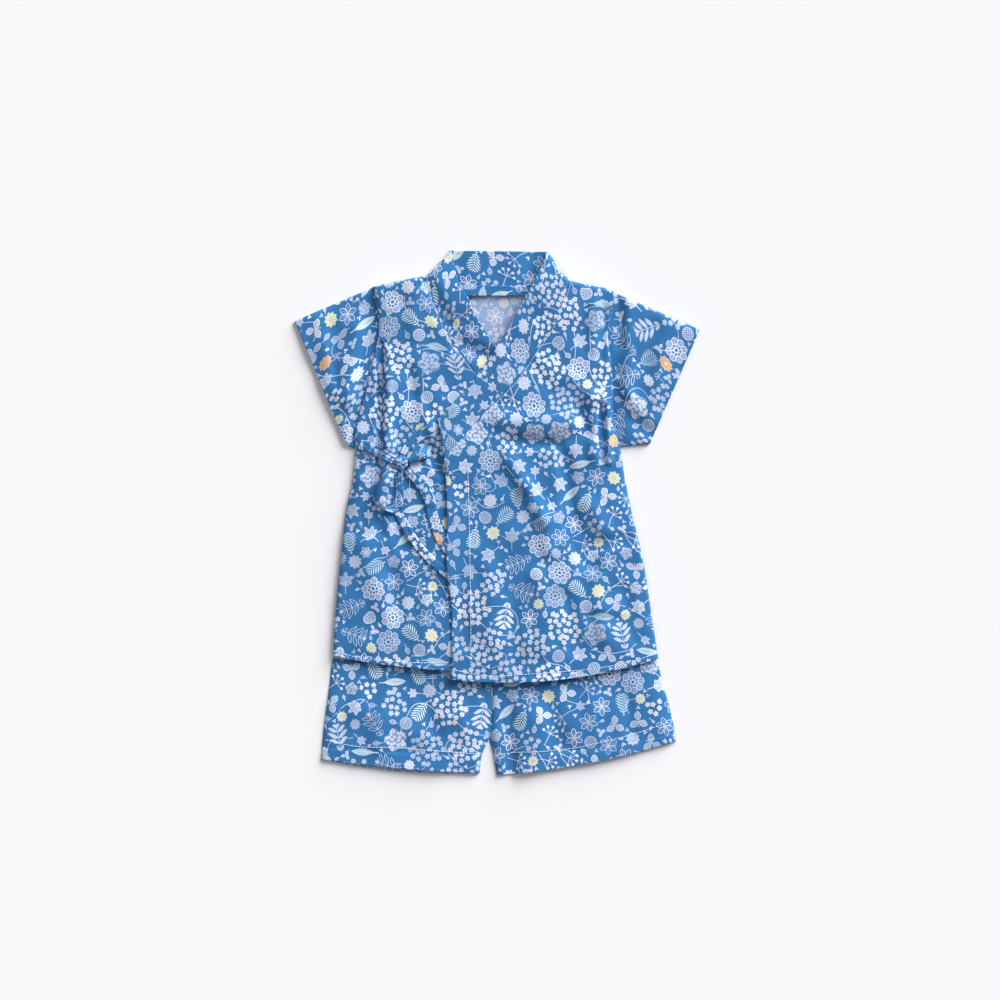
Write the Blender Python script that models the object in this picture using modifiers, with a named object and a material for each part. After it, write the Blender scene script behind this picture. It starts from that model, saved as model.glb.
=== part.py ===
"""Pyjama set laid flat: a short-sleeved wrap top, tied in a bow, over a pair of shorts.

Metres, +Z up. +Y runs to the neck, and +X to the right of someone who looks down on the set.
It lies on z = 0, and the origin is under the middle of its outline. Left and right are those of
the same onlooker. Every table is in millimetres.
"""

import math
from collections import namedtuple

import bmesh
import bpy
from mathutils import Vector

MM = 0.001

# Cloth and the room between its layers
WALL = 1.0
BAND_WALL = 1.4
STAND_WALL = 1.2
GAP = 0.3
SEAM = 0.45

# How the layers lie
TUBE_HEIGHT = 2.6
TUBE_EDGE = 1.3
FOLD_SHARE = 0.25
CROWN_POWER = 0.7
SLEEVE_ROWS = 6
SHORTS_LIFT = 3.1
LIFT_STARTS_Y = 35.0
LIFT_ENDS_Y = -27.0
CHEST_LIFT = 1.75
CHEST_STARTS_Y = -20.0
CHEST_ENDS_Y = 50.0
NECK_LIFT = 1.6
NECK_STARTS_Y = 150.0
NECK_ENDS_Y = 200.0
PUFF = 1.5
PUFF_REACH = 18.0
HEM_PUFF_SHARE = 0.4
HEM_STARTS_Y = -105.0
HEM_ENDS_Y = -150.0
OVERLAP_LIFT = BAND_WALL + 1.5 * GAP
OVERLAP_ENDS_X = 50.0
OVERLAP_GONE_X = 84.0
SLEEVE_CROWN = 2.4
CROWN_STARTS = 0.14
CROWN_ENDS = 0.6
LEG_PUFF = 2.2
LEG_PUFF_STARTS_Y = -155.0
LEG_PUFF_ENDS_Y = -188.0
LEG_SPLIT_X = -6.0
LEG_SIDE_X = 158.0
OVER_SLEEVE = 2.6
UNDERARM_Y = 58.0
UNDERARM_BLEND = 12.0

# Grid spacing of the faceted panels
FINE = 13.0
COARSE = 40.0

BLUE = (0.060, 0.220, 0.450, 1.0)
PALE_BLUE = (0.420, 0.480, 0.680, 1.0)
DEEP_BLUE = (0.045, 0.180, 0.400, 1.0)

Side = namedtuple("Side", "y left_x right_x back_sag")
Front = namedtuple("Front", "side_y edge_x edge_y sag")
Edge = namedtuple("Edge", "x y")
Leg = namedtuple("Leg", "side_x side_y inner_x inner_y sag")
Row = namedtuple("Row", "left_x left_y right_x right_y sag")
Fold = namedtuple("Fold", "start_x start_y end_x end_y reach height")
Station = namedtuple("Station", "x y lift width")

# Armholes from shoulder to underarm, then the side seams down to the hem, with the sag of the
# back panel's row between them
SIDES = (
    Side(206.0, -109.9, 105.2, 0.0),
    Side(200.0, -108.6, 103.9, -12.0),
    Side(188.0, -106.2, 101.5, -6.0),
    Side(174.0, -104.4, 98.6, -2.0),
    Side(160.0, -105.0, 96.8, 0.0),
    Side(146.0, -107.3, 98.6, 0.0),
    Side(126.0, -112.0, 100.4, 0.0),
    Side(106.0, -116.8, 101.2, 0.0),
    Side(86.0, -122.6, 101.6, 0.0),
    Side(70.0, -126.3, 103.8, 0.0),
    Side(58.0, -127.7, 110.4, 0.0),
    Side(34.0, -129.5, 114.5, 0.0),
    Side(16.0, -133.6, 117.6, 0.0),
    Side(-6.0, -136.6, 122.4, 0.0),
    Side(-36.0, -140.2, 129.7, 0.0),
    Side(-65.0, -143.0, 134.8, 2.0),
    Side(-100.0, -146.2, 140.0, 4.0),
    Side(-131.0, -147.4, 144.8, 6.0),
)

# Front that lies on top: the neckband's seam from the neck, then the free edge to the hem
OVER_FRONT = (
    Front(200.6, 64.6, 209.3, 0.0),
    Front(188.0, 61.9, 198.9, 0.0),
    Front(174.0, 57.2, 187.7, 0.0),
    Front(158.0, 50.0, 169.4, 0.0),
    Front(140.0, 33.0, 144.0, 0.0),
    Front(120.0, 15.9, 118.8, 0.0),
    Front(99.5, 0.7, 103.5, 0.0),
    Front(77.0, -20.9, 79.2, 0.0),
    Front(57.0, -47.3, 49.5, 0.0),
    Front(34.0, -46.0, 30.0, 0.0),
    Front(5.0, -45.2, 5.0, 0.0),
    Front(-25.0, -45.2, -25.0, 0.0),
    Front(-52.0, -45.2, -52.0, 1.0),
    Front(-77.0, -41.6, -79.0, 3.0),
    Front(-100.0, -40.8, -106.0, 6.0),
    Front(-118.0, -40.8, -130.0, 8.0),
    Front(-130.8, -41.1, -149.5, 10.0),
)

# Front that lies below: its seam with the neckband goes on under the other front
UNDER_FRONT = (
    Front(204.0, -62.3, 214.2, 0.0),
    Front(182.0, -55.7, 186.8, 0.0),
    Front(170.0, -51.1, 176.8, 0.0),
    Front(147.0, -39.2, 151.0, 0.0),
    Front(127.0, -28.2, 138.2, 0.0),
    Front(108.0, -20.0, 126.9, 0.0),
    Front(88.0, -1.0, 103.5, 0.0),
    Front(71.0, 20.5, 79.2, 0.0),
    Front(57.0, 44.0, 49.5, 0.0),
    Front(33.0, 44.0, 30.0, 0.0),
    Front(5.0, 44.0, 5.0, 0.0),
    Front(-24.0, 44.0, -24.0, 0.0),
    Front(-52.0, 44.0, -53.0, 1.0),
    Front(-80.0, 44.0, -83.0, 3.0),
    Front(-106.0, 44.0, -113.0, 5.0),
    Front(-128.5, 44.0, -139.5, 7.0),
)

# Free edge of the neckband, one row for each of the first rows of the front that it is sewn to
OVER_BAND_EDGE = (
    Edge(45.2, 234.9),
    Edge(38.5, 218.7),
    Edge(32.5, 207.0),
    Edge(25.9, 195.3),
    Edge(12.3, 170.0),
    Edge(-6.5, 140.4),
    Edge(-19.4, 121.5),
    Edge(-41.0, 97.2),
    Edge(-53.3, 83.7),
)
UNDER_BAND_EDGE = (
    Edge(-41.6, 235.6),
    Edge(-33.5, 205.2),
    Edge(-28.1, 197.1),
    Edge(-20.0, 178.6),
    Edge(-11.0, 163.8),
    Edge(-2.0, 150.3),
    Edge(19.4, 121.5),
    Edge(41.0, 97.2),
    Edge(50.0, 83.7),
)

# The band behind the neck, seen from inside, and the tape that covers its seam
BACK_STAND = (
    Row(-43.6, 235.9, 45.6, 235.0, 0.0),
    Row(-40.0, 220.0, 42.0, 219.0, 0.0),
    Row(-37.0, 203.0, 36.0, 203.0, 0.0),
)
NECK_TAPE = (
    Row(-36.0, 204.4, 34.0, 204.4, 0.0),
    Row(-32.0, 195.2, 29.0, 195.2, 0.0),
)
STAND_Z = 1.3
TAPE_Z = 2.8

LEFT_LEG = (
    Leg(-106.0, -47.0, -3.4, -47.0, 0.0),
    Leg(-116.0, -65.0, -3.4, -67.0, 0.0),
    Leg(-130.0, -90.0, -3.4, -94.0, 0.0),
    Leg(-141.0, -112.0, -3.4, -120.0, 0.0),
    Leg(-148.2, -132.0, -3.6, -142.0, 0.0),
    Leg(-150.6, -152.0, -4.0, -164.0, 0.0),
    Leg(-153.5, -174.0, -5.2, -185.0, 0.0),
    Leg(-156.6, -198.0, -7.8, -204.3, 0.0),
    Leg(-157.6, -210.0, -13.2, -216.0, 1.0),
    Leg(-158.6, -221.4, -15.8, -234.0, 2.0),
)
RIGHT_LEG = (
    Leg(106.0, -47.0, -3.4, -47.0, 0.0),
    Leg(115.0, -65.0, -3.4, -67.0, 0.0),
    Leg(128.0, -90.0, -3.4, -94.0, 0.0),
    Leg(138.0, -112.0, -3.4, -120.0, 0.0),
    Leg(143.8, -131.7, -3.6, -142.0, 0.0),
    Leg(148.7, -151.0, -4.0, -164.0, 0.0),
    Leg(153.4, -167.0, -5.2, -185.0, 0.0),
    Leg(157.3, -184.5, -7.0, -204.3, 1.0),
    Leg(159.5, -195.0, -4.2, -214.0, 3.0),
    Leg(161.3, -204.9, -0.4, -235.6, 5.0),
)
WAISTBAND = (
    Row(-105.0, -29.0, 105.0, -29.0, 0.0),
    Row(-105.6, -46.2, 105.6, -46.2, 0.0),
)
BACK_TOP_Y = 200.0
BACK_SEAM = 0.8
BACK_INSET = 1.0
BACK_HEM_DROP = 3.0

# Sleeves: the fold along the shoulder and the underarm, both at the cuff
LEFT_CUFF = (Edge(-182.3, 172.8), Edge(-136.1, 61.2))
RIGHT_CUFF = (Edge(182.3, 165.2), Edge(137.3, 62.2))
LEFT_ARMHOLE_Y = (204.0, 57.5)
RIGHT_ARMHOLE_Y = (199.0, 59.4)

# Largest folds: ridges are positive, troughs negative
UNDER_FOLDS = (
    Fold(-98.0, 122.0, -100.0, 60.0, 15.0, 1.8),
    Fold(-100.0, 60.0, -110.0, 14.0, 14.0, 1.4),
)
OVER_FOLDS = (
    Fold(-51.0, 96.0, -50.0, -66.0, 32.0, 1.3),
    Fold(90.0, 104.0, 90.0, 52.0, 15.0, 1.8),
    Fold(10.0, 50.0, 40.0, -4.0, 20.0, 1.0),
    Fold(66.0, 34.0, 84.0, -44.0, 18.0, -1.1),
)
LEG_FOLDS = (
    Fold(24.0, -190.0, 20.0, -228.0, 15.0, 1.2),
    Fold(-120.0, -170.0, -70.0, -200.0, 16.0, 0.8),
)

# Ties: two come to the knot, two loops and two tails leave it
TIE_WALL = 1.1
NECK_TIE = (
    Station(-49.0, 86.0, 0.0, 10.0),
    Station(-57.0, 79.0, 0.1, 10.0),
    Station(-66.0, 72.3, 0.3, 10.0),
    Station(-75.5, 64.5, 0.8, 9.0),
    Station(-82.0, 57.0, 1.3, 7.0),
    Station(-84.4, 52.4, 1.6, 6.0),
)
SIDE_TIE = (
    Station(-123.0, 61.5, 0.1, 9.0),
    Station(-115.0, 59.0, 0.6, 9.0),
    Station(-106.0, 54.5, 1.0, 9.0),
    Station(-99.0, 50.5, 1.4, 8.5),
    Station(-92.8, 47.4, 1.6, 8.0),
)
UPPER_LOOP = (
    Station(-79.0, 46.8, 0.1, 6.0),
    Station(-73.0, 50.3, 0.1, 8.5),
    Station(-64.0, 55.4, 0.7, 10.5),
    Station(-61.2, 57.0, 2.6, 10.5),
    Station(-64.0, 55.4, 4.5, 10.5),
    Station(-73.0, 50.3, 4.7, 8.5),
    Station(-79.0, 46.8, 3.9, 6.0),
)
LOWER_LOOP = (
    Station(-91.0, 38.8, 0.1, 8.0),
    Station(-96.0, 29.0, 0.1, 11.0),
    Station(-101.0, 14.0, 0.3, 13.0),
    Station(-102.5, 6.5, 0.9, 13.0),
    Station(-103.2, 3.5, 2.4, 13.0),
    Station(-102.5, 6.5, 3.9, 13.0),
    Station(-101.0, 14.0, 4.7, 13.0),
    Station(-96.0, 29.0, 4.6, 11.0),
    Station(-91.0, 38.8, 4.1, 8.0),
)
NECK_TAIL = (
    Station(-80.0, 39.4, 0.6, 8.0),
    Station(-73.0, 31.0, 0.1, 9.0),
    Station(-65.5, 22.0, 0.0, 10.0),
    Station(-60.5, 11.0, 0.0, 10.0),
    Station(-58.0, -3.0, 0.0, 10.0),
    Station(-53.5, -16.0, 0.0, 10.0),
    Station(-46.0, -30.0, 0.0, 10.0),
    Station(-41.0, -36.0, 0.0, 10.0),
)
SIDE_TAIL = (
    Station(-89.0, 1.0, 0.0, 8.0),
    Station(-84.0, -9.0, 0.0, 8.0),
    Station(-77.0, -21.0, 0.0, 8.0),
    Station(-68.5, -32.5, 0.0, 8.0),
    Station(-59.0, -42.5, 0.0, 8.0),
    Station(-49.0, -51.5, 0.0, 8.0),
    Station(-40.0, -58.0, 0.0, 8.0),
)
KNOT_CENTRE = Edge(-86.0, 45.4)
KNOT_SIZE = (12.5, 12.0, 7.0)
KNOT_LIFT = 0.2
LOWER_LOOP_TURN_SIDE = Vector((0.93, -0.37, 0.0))
UPPER_LOOP_TURN_SIDE = Vector((-0.51, 0.86, 0.0))

made = bpy.data.collections.new("pyjama_set")


def ease(start, end, value):
    """0 at start and 1 at end, with a soft change between them; start may be above end."""
    share = min(max((value - start) / (end - start), 0.0), 1.0)
    return share * share * (3.0 - 2.0 * share)


def side_x(y, column):
    """The x of the left or right side of the top at this y."""
    rows = SIDES
    y = min(max(y, rows[-1].y), rows[0].y)
    for upper, lower in zip(rows, rows[1:]):
        if y >= lower.y:
            share = (upper.y - y) / (upper.y - lower.y)
            start = getattr(upper, column)
            return start + (getattr(lower, column) - start) * share
    return getattr(rows[-1], column)


def over_sleeve(y):
    """How far a front's edge lies out over the sleeve at this y."""
    return OVER_SLEEVE * ease(UNDERARM_Y, UNDERARM_Y + UNDERARM_BLEND, y)


def fold_height(folds, x, y):
    """The height that the folds add here. A fold fades sideways and past its ends."""
    total = 0.0
    for fold in folds:
        run_x = fold.end_x - fold.start_x
        run_y = fold.end_y - fold.start_y
        share = ((x - fold.start_x) * run_x + (y - fold.start_y) * run_y) / (run_x**2 + run_y**2)
        share = min(max(share, 0.0), 1.0)
        away = math.hypot(x - fold.start_x - share * run_x, y - fold.start_y - share * run_y)
        if away < fold.reach:
            total += fold.height * 0.5 * (1.0 + math.cos(math.pi * away / fold.reach))
    return total


def back_height(x, y):
    """Underside of the back panel: on the ground, then up over the shorts."""
    return SHORTS_LIFT * ease(LIFT_STARTS_Y, LIFT_ENDS_Y, y)


def front_height(x, y):
    """Underside of a front without its folds."""
    from_side = max(min(x - side_x(y, "left_x"), side_x(y, "right_x") - x), 0.0)
    puff = PUFF * (1.0 - math.exp(-from_side / PUFF_REACH))
    puff *= 1.0 - (1.0 - HEM_PUFF_SHARE) * ease(HEM_STARTS_Y, HEM_ENDS_Y, y)
    chest = CHEST_LIFT * ease(CHEST_STARTS_Y, CHEST_ENDS_Y, y)
    neck = NECK_LIFT * ease(NECK_STARTS_Y, NECK_ENDS_Y, y)
    return back_height(x, y) + WALL + GAP + chest + neck + puff


def under_height(x, y):
    return front_height(x, y) + fold_height(UNDER_FOLDS, x, y)


def over_height(x, y):
    overlap = OVERLAP_LIFT * ease(OVERLAP_GONE_X, OVERLAP_ENDS_X, x)
    return front_height(x, y) + overlap + fold_height(OVER_FOLDS, x, y)


def leg_front_height(x, y):
    """Underside of the front of the shorts, which fills out below the hem of the top."""
    open_part = ease(LEG_PUFF_STARTS_Y, LEG_PUFF_ENDS_Y, y)
    from_side = max(min(abs(x - LEG_SPLIT_X), LEG_SIDE_X - abs(x)), 0.0)
    puff = LEG_PUFF * (1.0 - math.exp(-from_side / PUFF_REACH))
    return WALL + GAP + open_part * (puff + fold_height(LEG_FOLDS, x, y))


def on_ground(x, y):
    return 0.0


def material(name, colour, roughness):
    """A cotton finish: matt, with no metal in it."""
    made_material = bpy.data.materials.new(name)
    made_material.use_nodes = True
    shader = made_material.node_tree.nodes["Principled BSDF"]
    shader.inputs["Base Color"].default_value = colour
    shader.inputs["Roughness"].default_value = roughness
    shader.inputs["Metallic"].default_value = 0.0
    return made_material


def new_object(name, shape, colour):
    """The object of a finished bmesh, in the set's collection."""
    mesh = bpy.data.meshes.new(name)
    shape.to_mesh(mesh)
    shape.free()
    piece = bpy.data.objects.new(name, mesh)
    piece.data.materials.append(material(name + "_cotton", colour, 0.85))
    made.objects.link(piece)
    return piece


def surface(points, closed):
    """A quad surface over rows of points. A closed one joins the ends of each row."""
    shape = bmesh.new()
    rows = [[shape.verts.new(Vector(point) * MM) for point in row] for row in points]
    for first, second in zip(rows, rows[1:]):
        for index in range(len(first) - (not closed)):
            after = (index + 1) % len(first)
            shape.faces.new((first[index], second[index], second[after], first[after]))
    return shape


def thicken(piece, wall, offset):
    """Gives an open surface its cloth. Offset 1 grows it along the faces, -1 against them."""
    shell = piece.modifiers.new("cloth", "SOLIDIFY")
    shell.thickness = wall * MM
    shell.offset = offset
    shell.use_even_offset = True
    return piece


def finer(rows, spacing):
    """The table's rows, with straight steps between those that lie further apart than this."""
    result = [rows[0]]
    for first, second in zip(rows, rows[1:]):
        long_side = max(abs(first.left_y - second.left_y), abs(first.right_y - second.right_y))
        steps = max(1, round(long_side / spacing))
        for step in range(1, steps + 1):
            share = step / steps
            result.append(Row(*(a + (b - a) * share for a, b in zip(first, second))))
    return result


def panel(name, rows, height, spacing, wall=WALL, colour=BLUE, row_spacing=FINE):
    """A cloth panel: a loft of straight or sagging rows, whose underside lies at height(x, y)."""
    rows = finer(rows, row_spacing)
    longest = max(math.hypot(row.right_x - row.left_x, row.right_y - row.left_y) for row in rows)
    columns = max(2, round(longest / spacing))
    points = []
    for row in rows:
        line = []
        for column in range(columns + 1):
            share = column / columns
            x = row.left_x + (row.right_x - row.left_x) * share
            y = row.left_y + (row.right_y - row.left_y) * share
            y -= 4.0 * share * (1.0 - share) * row.sag
            line.append((x, y, height(x, y)))
        points.append(line)
    return thicken(new_object(name, surface(points, False), colour), wall, 1.0)


def ring(top, bottom, crown, spacing, line):
    """One section of a flat tube. line(share) is the place between its top and bottom folds."""
    length = math.hypot(top[0] - bottom[0], top[1] - bottom[1])
    edge = TUBE_EDGE / length
    steps = max(2, round(length / spacing))
    low = FOLD_SHARE * TUBE_HEIGHT
    high = TUBE_HEIGHT - low
    inner = [edge + (1.0 - 2.0 * edge) * step / steps for step in range(steps + 1)]
    front = [(*line(0.0), high)]
    front += [(*line(s), TUBE_HEIGHT + crown * math.sin(math.pi * s) ** CROWN_POWER) for s in inner]
    front += [(*line(1.0), high)]
    back = [(*line(1.0), low)]
    back += [(*line(s), 0.0) for s in reversed(inner)]
    back += [(*line(0.0), low)]
    return front + back


def sleeve(name, side, armhole_y, cuff):
    """A short sleeve: a flat tube from the armhole's curve to the straight, open cuff."""
    points = []
    for row in range(SLEEVE_ROWS + 1):
        along = row / SLEEVE_ROWS

        def line(share):
            y = armhole_y[0] + (armhole_y[1] - armhole_y[0]) * share
            x = side_x(y, side)
            cuff_x = cuff[0].x + (cuff[1].x - cuff[0].x) * share
            cuff_y = cuff[0].y + (cuff[1].y - cuff[0].y) * share
            return x + (cuff_x - x) * along, y + (cuff_y - y) * along

        crown = SLEEVE_CROWN * ease(CROWN_STARTS, CROWN_ENDS, along)
        points.append(ring(cuff[0], cuff[1], crown, FINE, line))
    if side == "right_x":
        points = [list(reversed(row)) for row in points]
    return thicken(new_object(name, surface(points, True), BLUE), WALL, -1.0)


def waistband():
    """The gathered casing of the shorts, a flat tube under the top."""
    points = []
    for row in WAISTBAND:
        left = (row.left_x, row.left_y)
        right = (row.right_x, row.right_y)

        def line(share):
            return left[0] + (right[0] - left[0]) * share, left[1] + (right[1] - left[1]) * share

        points.append(ring(left, right, 0.0, COARSE, line))
    return thicken(new_object("shorts_waistband", surface(points, True), BLUE), WALL, -1.0)


def front_rows(table, side):
    """Rows of a front, from its side to its inner edge, which stops short of the band's seam."""
    rows = []
    for row in table:
        x = side_x(row.side_y, side)
        if side == "left_x":
            left_x = x - over_sleeve(row.side_y)
            rows.append(Row(left_x, row.side_y, row.edge_x - SEAM, row.edge_y, row.sag))
        else:
            right_x = x + over_sleeve(row.side_y)
            rows.append(Row(row.edge_x + SEAM, row.edge_y, right_x, row.side_y, row.sag))
    return rows


def band_rows(front, edges, side):
    """Rows across a stretch of the neckband, between its seam and its free edge."""
    rows = []
    for row, edge in zip(front, edges):
        if side == "left_x":
            rows.append(Row(row.edge_x, row.edge_y, edge.x, edge.y, 0.0))
        else:
            rows.append(Row(edge.x, edge.y, row.edge_x, row.edge_y, 0.0))
    return rows


def back_rows():
    """Rows of the back panel, which ends just inside the armholes and the side seams."""
    return [
        Row(side.left_x + BACK_SEAM, side.y, side.right_x - BACK_SEAM, side.y, side.back_sag)
        for side in SIDES
        if side.y <= BACK_TOP_Y
    ]


def leg_rows(table, outward, inset=0.0, drop=0.0):
    """Rows of half of the shorts. The hidden back is cut a little inside the front."""
    rows = []
    for index, row in enumerate(table):
        side = row.side_x - outward * inset
        inner = row.inner_x + outward * SEAM
        sag = row.sag + drop * (index == len(table) - 1)
        if outward < 0:
            rows.append(Row(side, row.side_y, inner, row.inner_y, sag))
        else:
            rows.append(Row(inner, row.inner_y, side, row.side_y, sag))
    return rows


def tie(name, stations, turn_side=None):
    """A flat sewn tie on the front below it. Its width lies across its run, or along turn_side."""
    points = []
    for index, station in enumerate(stations):
        before = stations[max(index - 1, 0)]
        after = stations[min(index + 1, len(stations) - 1)]
        run = Vector((after.x - before.x, after.y - before.y, 0.0))
        across = turn_side or Vector((-run.y, run.x, 0.0)).normalized()
        offsets = [across * station.width * share for share in (-0.5, 0.0, 0.5)]
        places = [(station.x + offset.x, station.y + offset.y) for offset in offsets]
        rest = max(under_height(*place) for place in places) + WALL + GAP + station.lift
        points.append([(*place, rest) for place in places])
    return thicken(new_object(name, surface(points, False), DEEP_BLUE), TIE_WALL, 1.0)


def knot():
    """The wrapped knot, a small soft cushion of cloth."""
    shape = bmesh.new()
    bmesh.ops.create_cube(shape, size=1.0)
    bmesh.ops.scale(shape, vec=Vector(KNOT_SIZE) * MM, verts=shape.verts)
    piece = new_object("bow_knot", shape, DEEP_BLUE)
    rest = under_height(KNOT_CENTRE.x, KNOT_CENTRE.y) + WALL + GAP + KNOT_LIFT
    piece.location = Vector((KNOT_CENTRE.x, KNOT_CENTRE.y, rest + KNOT_SIZE[2] / 2)) * MM
    soft = piece.modifiers.new("soft", "SUBSURF")
    soft.levels = 2
    soft.render_levels = 2
    return piece


def build_top():
    """The wrap top, from the back panel up to the bow."""
    panel("top_back", back_rows(), back_height, COARSE, colour=PALE_BLUE, row_spacing=COARSE)
    panel("top_front_under", front_rows(UNDER_FRONT, "left_x"), under_height, FINE)
    panel("top_front_over", front_rows(OVER_FRONT, "right_x"), over_height, FINE)
    sleeve("sleeve_left", "left_x", LEFT_ARMHOLE_Y, LEFT_CUFF)
    sleeve("sleeve_right", "right_x", RIGHT_ARMHOLE_Y, RIGHT_CUFF)
    under_rows = band_rows(UNDER_FRONT, UNDER_BAND_EDGE, "left_x")
    panel("neckband_under", under_rows, under_height, FINE, BAND_WALL)
    over_rows = band_rows(OVER_FRONT, OVER_BAND_EDGE, "right_x")
    panel("neckband_over", over_rows, over_height, FINE, BAND_WALL)
    panel("neckband_back", BACK_STAND, lambda x, y: STAND_Z, COARSE, STAND_WALL)
    panel("neck_tape", NECK_TAPE, lambda x, y: TAPE_Z, COARSE, colour=PALE_BLUE)
    tie("tie_from_neckband", NECK_TIE)
    tie("tie_from_side", SIDE_TIE)
    tie("bow_loop_upper", UPPER_LOOP, UPPER_LOOP_TURN_SIDE)
    tie("bow_loop_lower", LOWER_LOOP, LOWER_LOOP_TURN_SIDE)
    tie("tail_of_neckband_tie", NECK_TAIL)
    tie("tail_of_side_tie", SIDE_TAIL)
    knot()


def build_shorts():
    """The shorts: two legs, each a back and a front panel, under one waistband."""
    for name, table, outward in (("left", LEFT_LEG, -1), ("right", RIGHT_LEG, 1)):
        drop = BACK_HEM_DROP if outward < 0 else 0.0
        back = leg_rows(table, outward, BACK_INSET, drop)
        panel("shorts_back_" + name, back, on_ground, COARSE, row_spacing=COARSE / 2)
        panel("shorts_front_" + name, leg_rows(table, outward), leg_front_height, FINE)
    waistband()


for old in list(bpy.data.objects):
    bpy.data.objects.remove(old, do_unlink=True)
bpy.context.scene.collection.children.link(made)
build_shorts()
build_top()
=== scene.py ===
"""Looks of a pyjama set laid flat: a wrap top, tied in a bow, over a pair of shorts.

Every table and size is in millimetres, in the frame of the CAD: +Z up, +Y to the neck, +X to the
right of someone who looks down on the set. Meshes are turned to metres as they are made. Left
and right are those of the same onlooker.
"""

from __future__ import annotations

import logging
import math
from dataclasses import dataclass, field
from enum import Enum
from functools import partial, partialmethod
from typing import Callable, NamedTuple, Sequence

import bmesh
import bpy
import numpy as np
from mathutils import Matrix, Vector

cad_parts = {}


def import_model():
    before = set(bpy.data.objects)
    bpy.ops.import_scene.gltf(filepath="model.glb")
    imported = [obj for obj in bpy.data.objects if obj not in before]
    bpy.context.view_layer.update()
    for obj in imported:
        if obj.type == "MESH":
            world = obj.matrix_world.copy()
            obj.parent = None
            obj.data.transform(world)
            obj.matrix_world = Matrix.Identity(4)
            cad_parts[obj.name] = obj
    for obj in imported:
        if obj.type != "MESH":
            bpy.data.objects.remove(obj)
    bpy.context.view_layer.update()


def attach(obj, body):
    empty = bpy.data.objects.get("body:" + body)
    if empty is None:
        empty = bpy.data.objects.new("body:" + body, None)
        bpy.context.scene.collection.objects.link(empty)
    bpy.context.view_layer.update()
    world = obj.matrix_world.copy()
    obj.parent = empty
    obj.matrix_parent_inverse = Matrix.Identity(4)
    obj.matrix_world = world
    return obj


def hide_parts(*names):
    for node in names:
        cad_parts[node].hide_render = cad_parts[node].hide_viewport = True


log = logging.getLogger("pyjama_set")

MM = 0.001
BODY = "root"
PRINTED_SLOT = "printed_cotton"
REVERSE_SLOT = "cotton_reverse"

# Cloth and the room between its layers, as in the CAD
WALL = 1.0
BAND_WALL = 1.4
GAP = 0.3
SHORTS_LIFT = 3.1
CHEST_LIFT = 2.5
NECK_LIFT = 1.6
PUFF = 2.2
PUFF_REACH = 18.0
HEM_PUFF_SHARE = 0.6
OVERLAP_LIFT = BAND_WALL + 1.5 * GAP
TUBE_HEIGHT = 2.6
SLEEVE_CROWN = 3.0
LEG_PUFF = 2.2
LEG_SPLIT_X = -6.0
LEG_SIDE_X = 158.0
OVER_SLEEVE = 2.6
BACK_SEAM = 0.8

# Where the cloth changes its level, from no lift to the whole of it
OVER_SHORTS_Y = (35.0, -27.0)
CHEST_Y = (-20.0, 50.0)
NECK_Y = (150.0, 200.0)
TO_HEM_Y = (-105.0, -150.0)
TO_STAND_Y = (200.0, 234.0)
OVERLAP_X = (84.0, 50.0)
SHORTS_SEEN_Y = (-140.0, -160.0)
SHORTS_FULL_Y = (-155.0, -188.0)

# Cloth as drawn: the wall of one layer, how strongly creases show, how much of the room below
# them they may take, and the height that a leg's creases may lose
CLOTH = 0.75
CREASE_SHARE = 1.2
CREASE_ROOM = 0.75
LEG_ROOM = 0.7
UNDERARM_Y = 58.0

# A turned hem's own height and the width of its step and of its stitch line, the width over which
# a free edge rounds off, and the level of a back seam
HEM_STEP = 0.28
HEM_BLUR = 0.9
HEM_LINE = 0.7
EDGE_TURN = 0.7
SEAM_FLOOR = 0.45

# Spacing of the points, and their distances from an end, where they lie closer together
FINE = 1.8
MEDIUM = 2.3
END_STEPS = (0.2, 0.6, 1.1)
CLOSEST = 0.19

# Tone inside the drawn motifs, and the thinner of the two threads
FILL = 0.5
FINE_THREAD = 0.25

# Middle of the knot, and what the bow lies on
KNOT = (-86.0, 45.4)
UNDER_BOW = ("top_front_under_cloth",)

# Height of a face at places across (x) and along (y). Every function whose name ends in _top,
# _height or _floor is one.
Height = Callable[[np.ndarray, np.ndarray], np.ndarray]


class Side(NamedTuple):
    """One row of the top's side lines."""

    y: float
    left_x: float
    right_x: float
    back_sag: float = 0.0


class Front(NamedTuple):
    """One row of a front, from its side line to its inner edge."""

    side_y: float
    edge_x: float
    edge_y: float
    sag: float = 0.0


class Row(NamedTuple):
    """One row of a panel, with the sag of its middle towards the hem."""

    left_x: float
    left_y: float
    right_x: float
    right_y: float
    sag: float = 0.0


class Fold(NamedTuple):
    """A soft ridge, or a trough where its height is negative, along a straight line."""

    start_x: float
    start_y: float
    end_x: float
    end_y: float
    reach: float
    height: float


class Station(NamedTuple):
    """One station of a tie: its place, its lift off the cloth below and its width."""

    x: float
    y: float
    lift: float
    width: float


class EdgeKind(Enum):
    """How an edge of a panel ends."""

    FREE = "folded over and free"
    SEAM = "sewn to its neighbour"
    ROLLED = "rolled down to the layer below"
    HIDDEN = "flat, under other cloth"


def rows_of(kind: Callable[..., tuple], *rows: tuple) -> tuple:
    """Returns plain rows as named rows of one kind."""
    return tuple(kind(*row) for row in rows)


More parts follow.
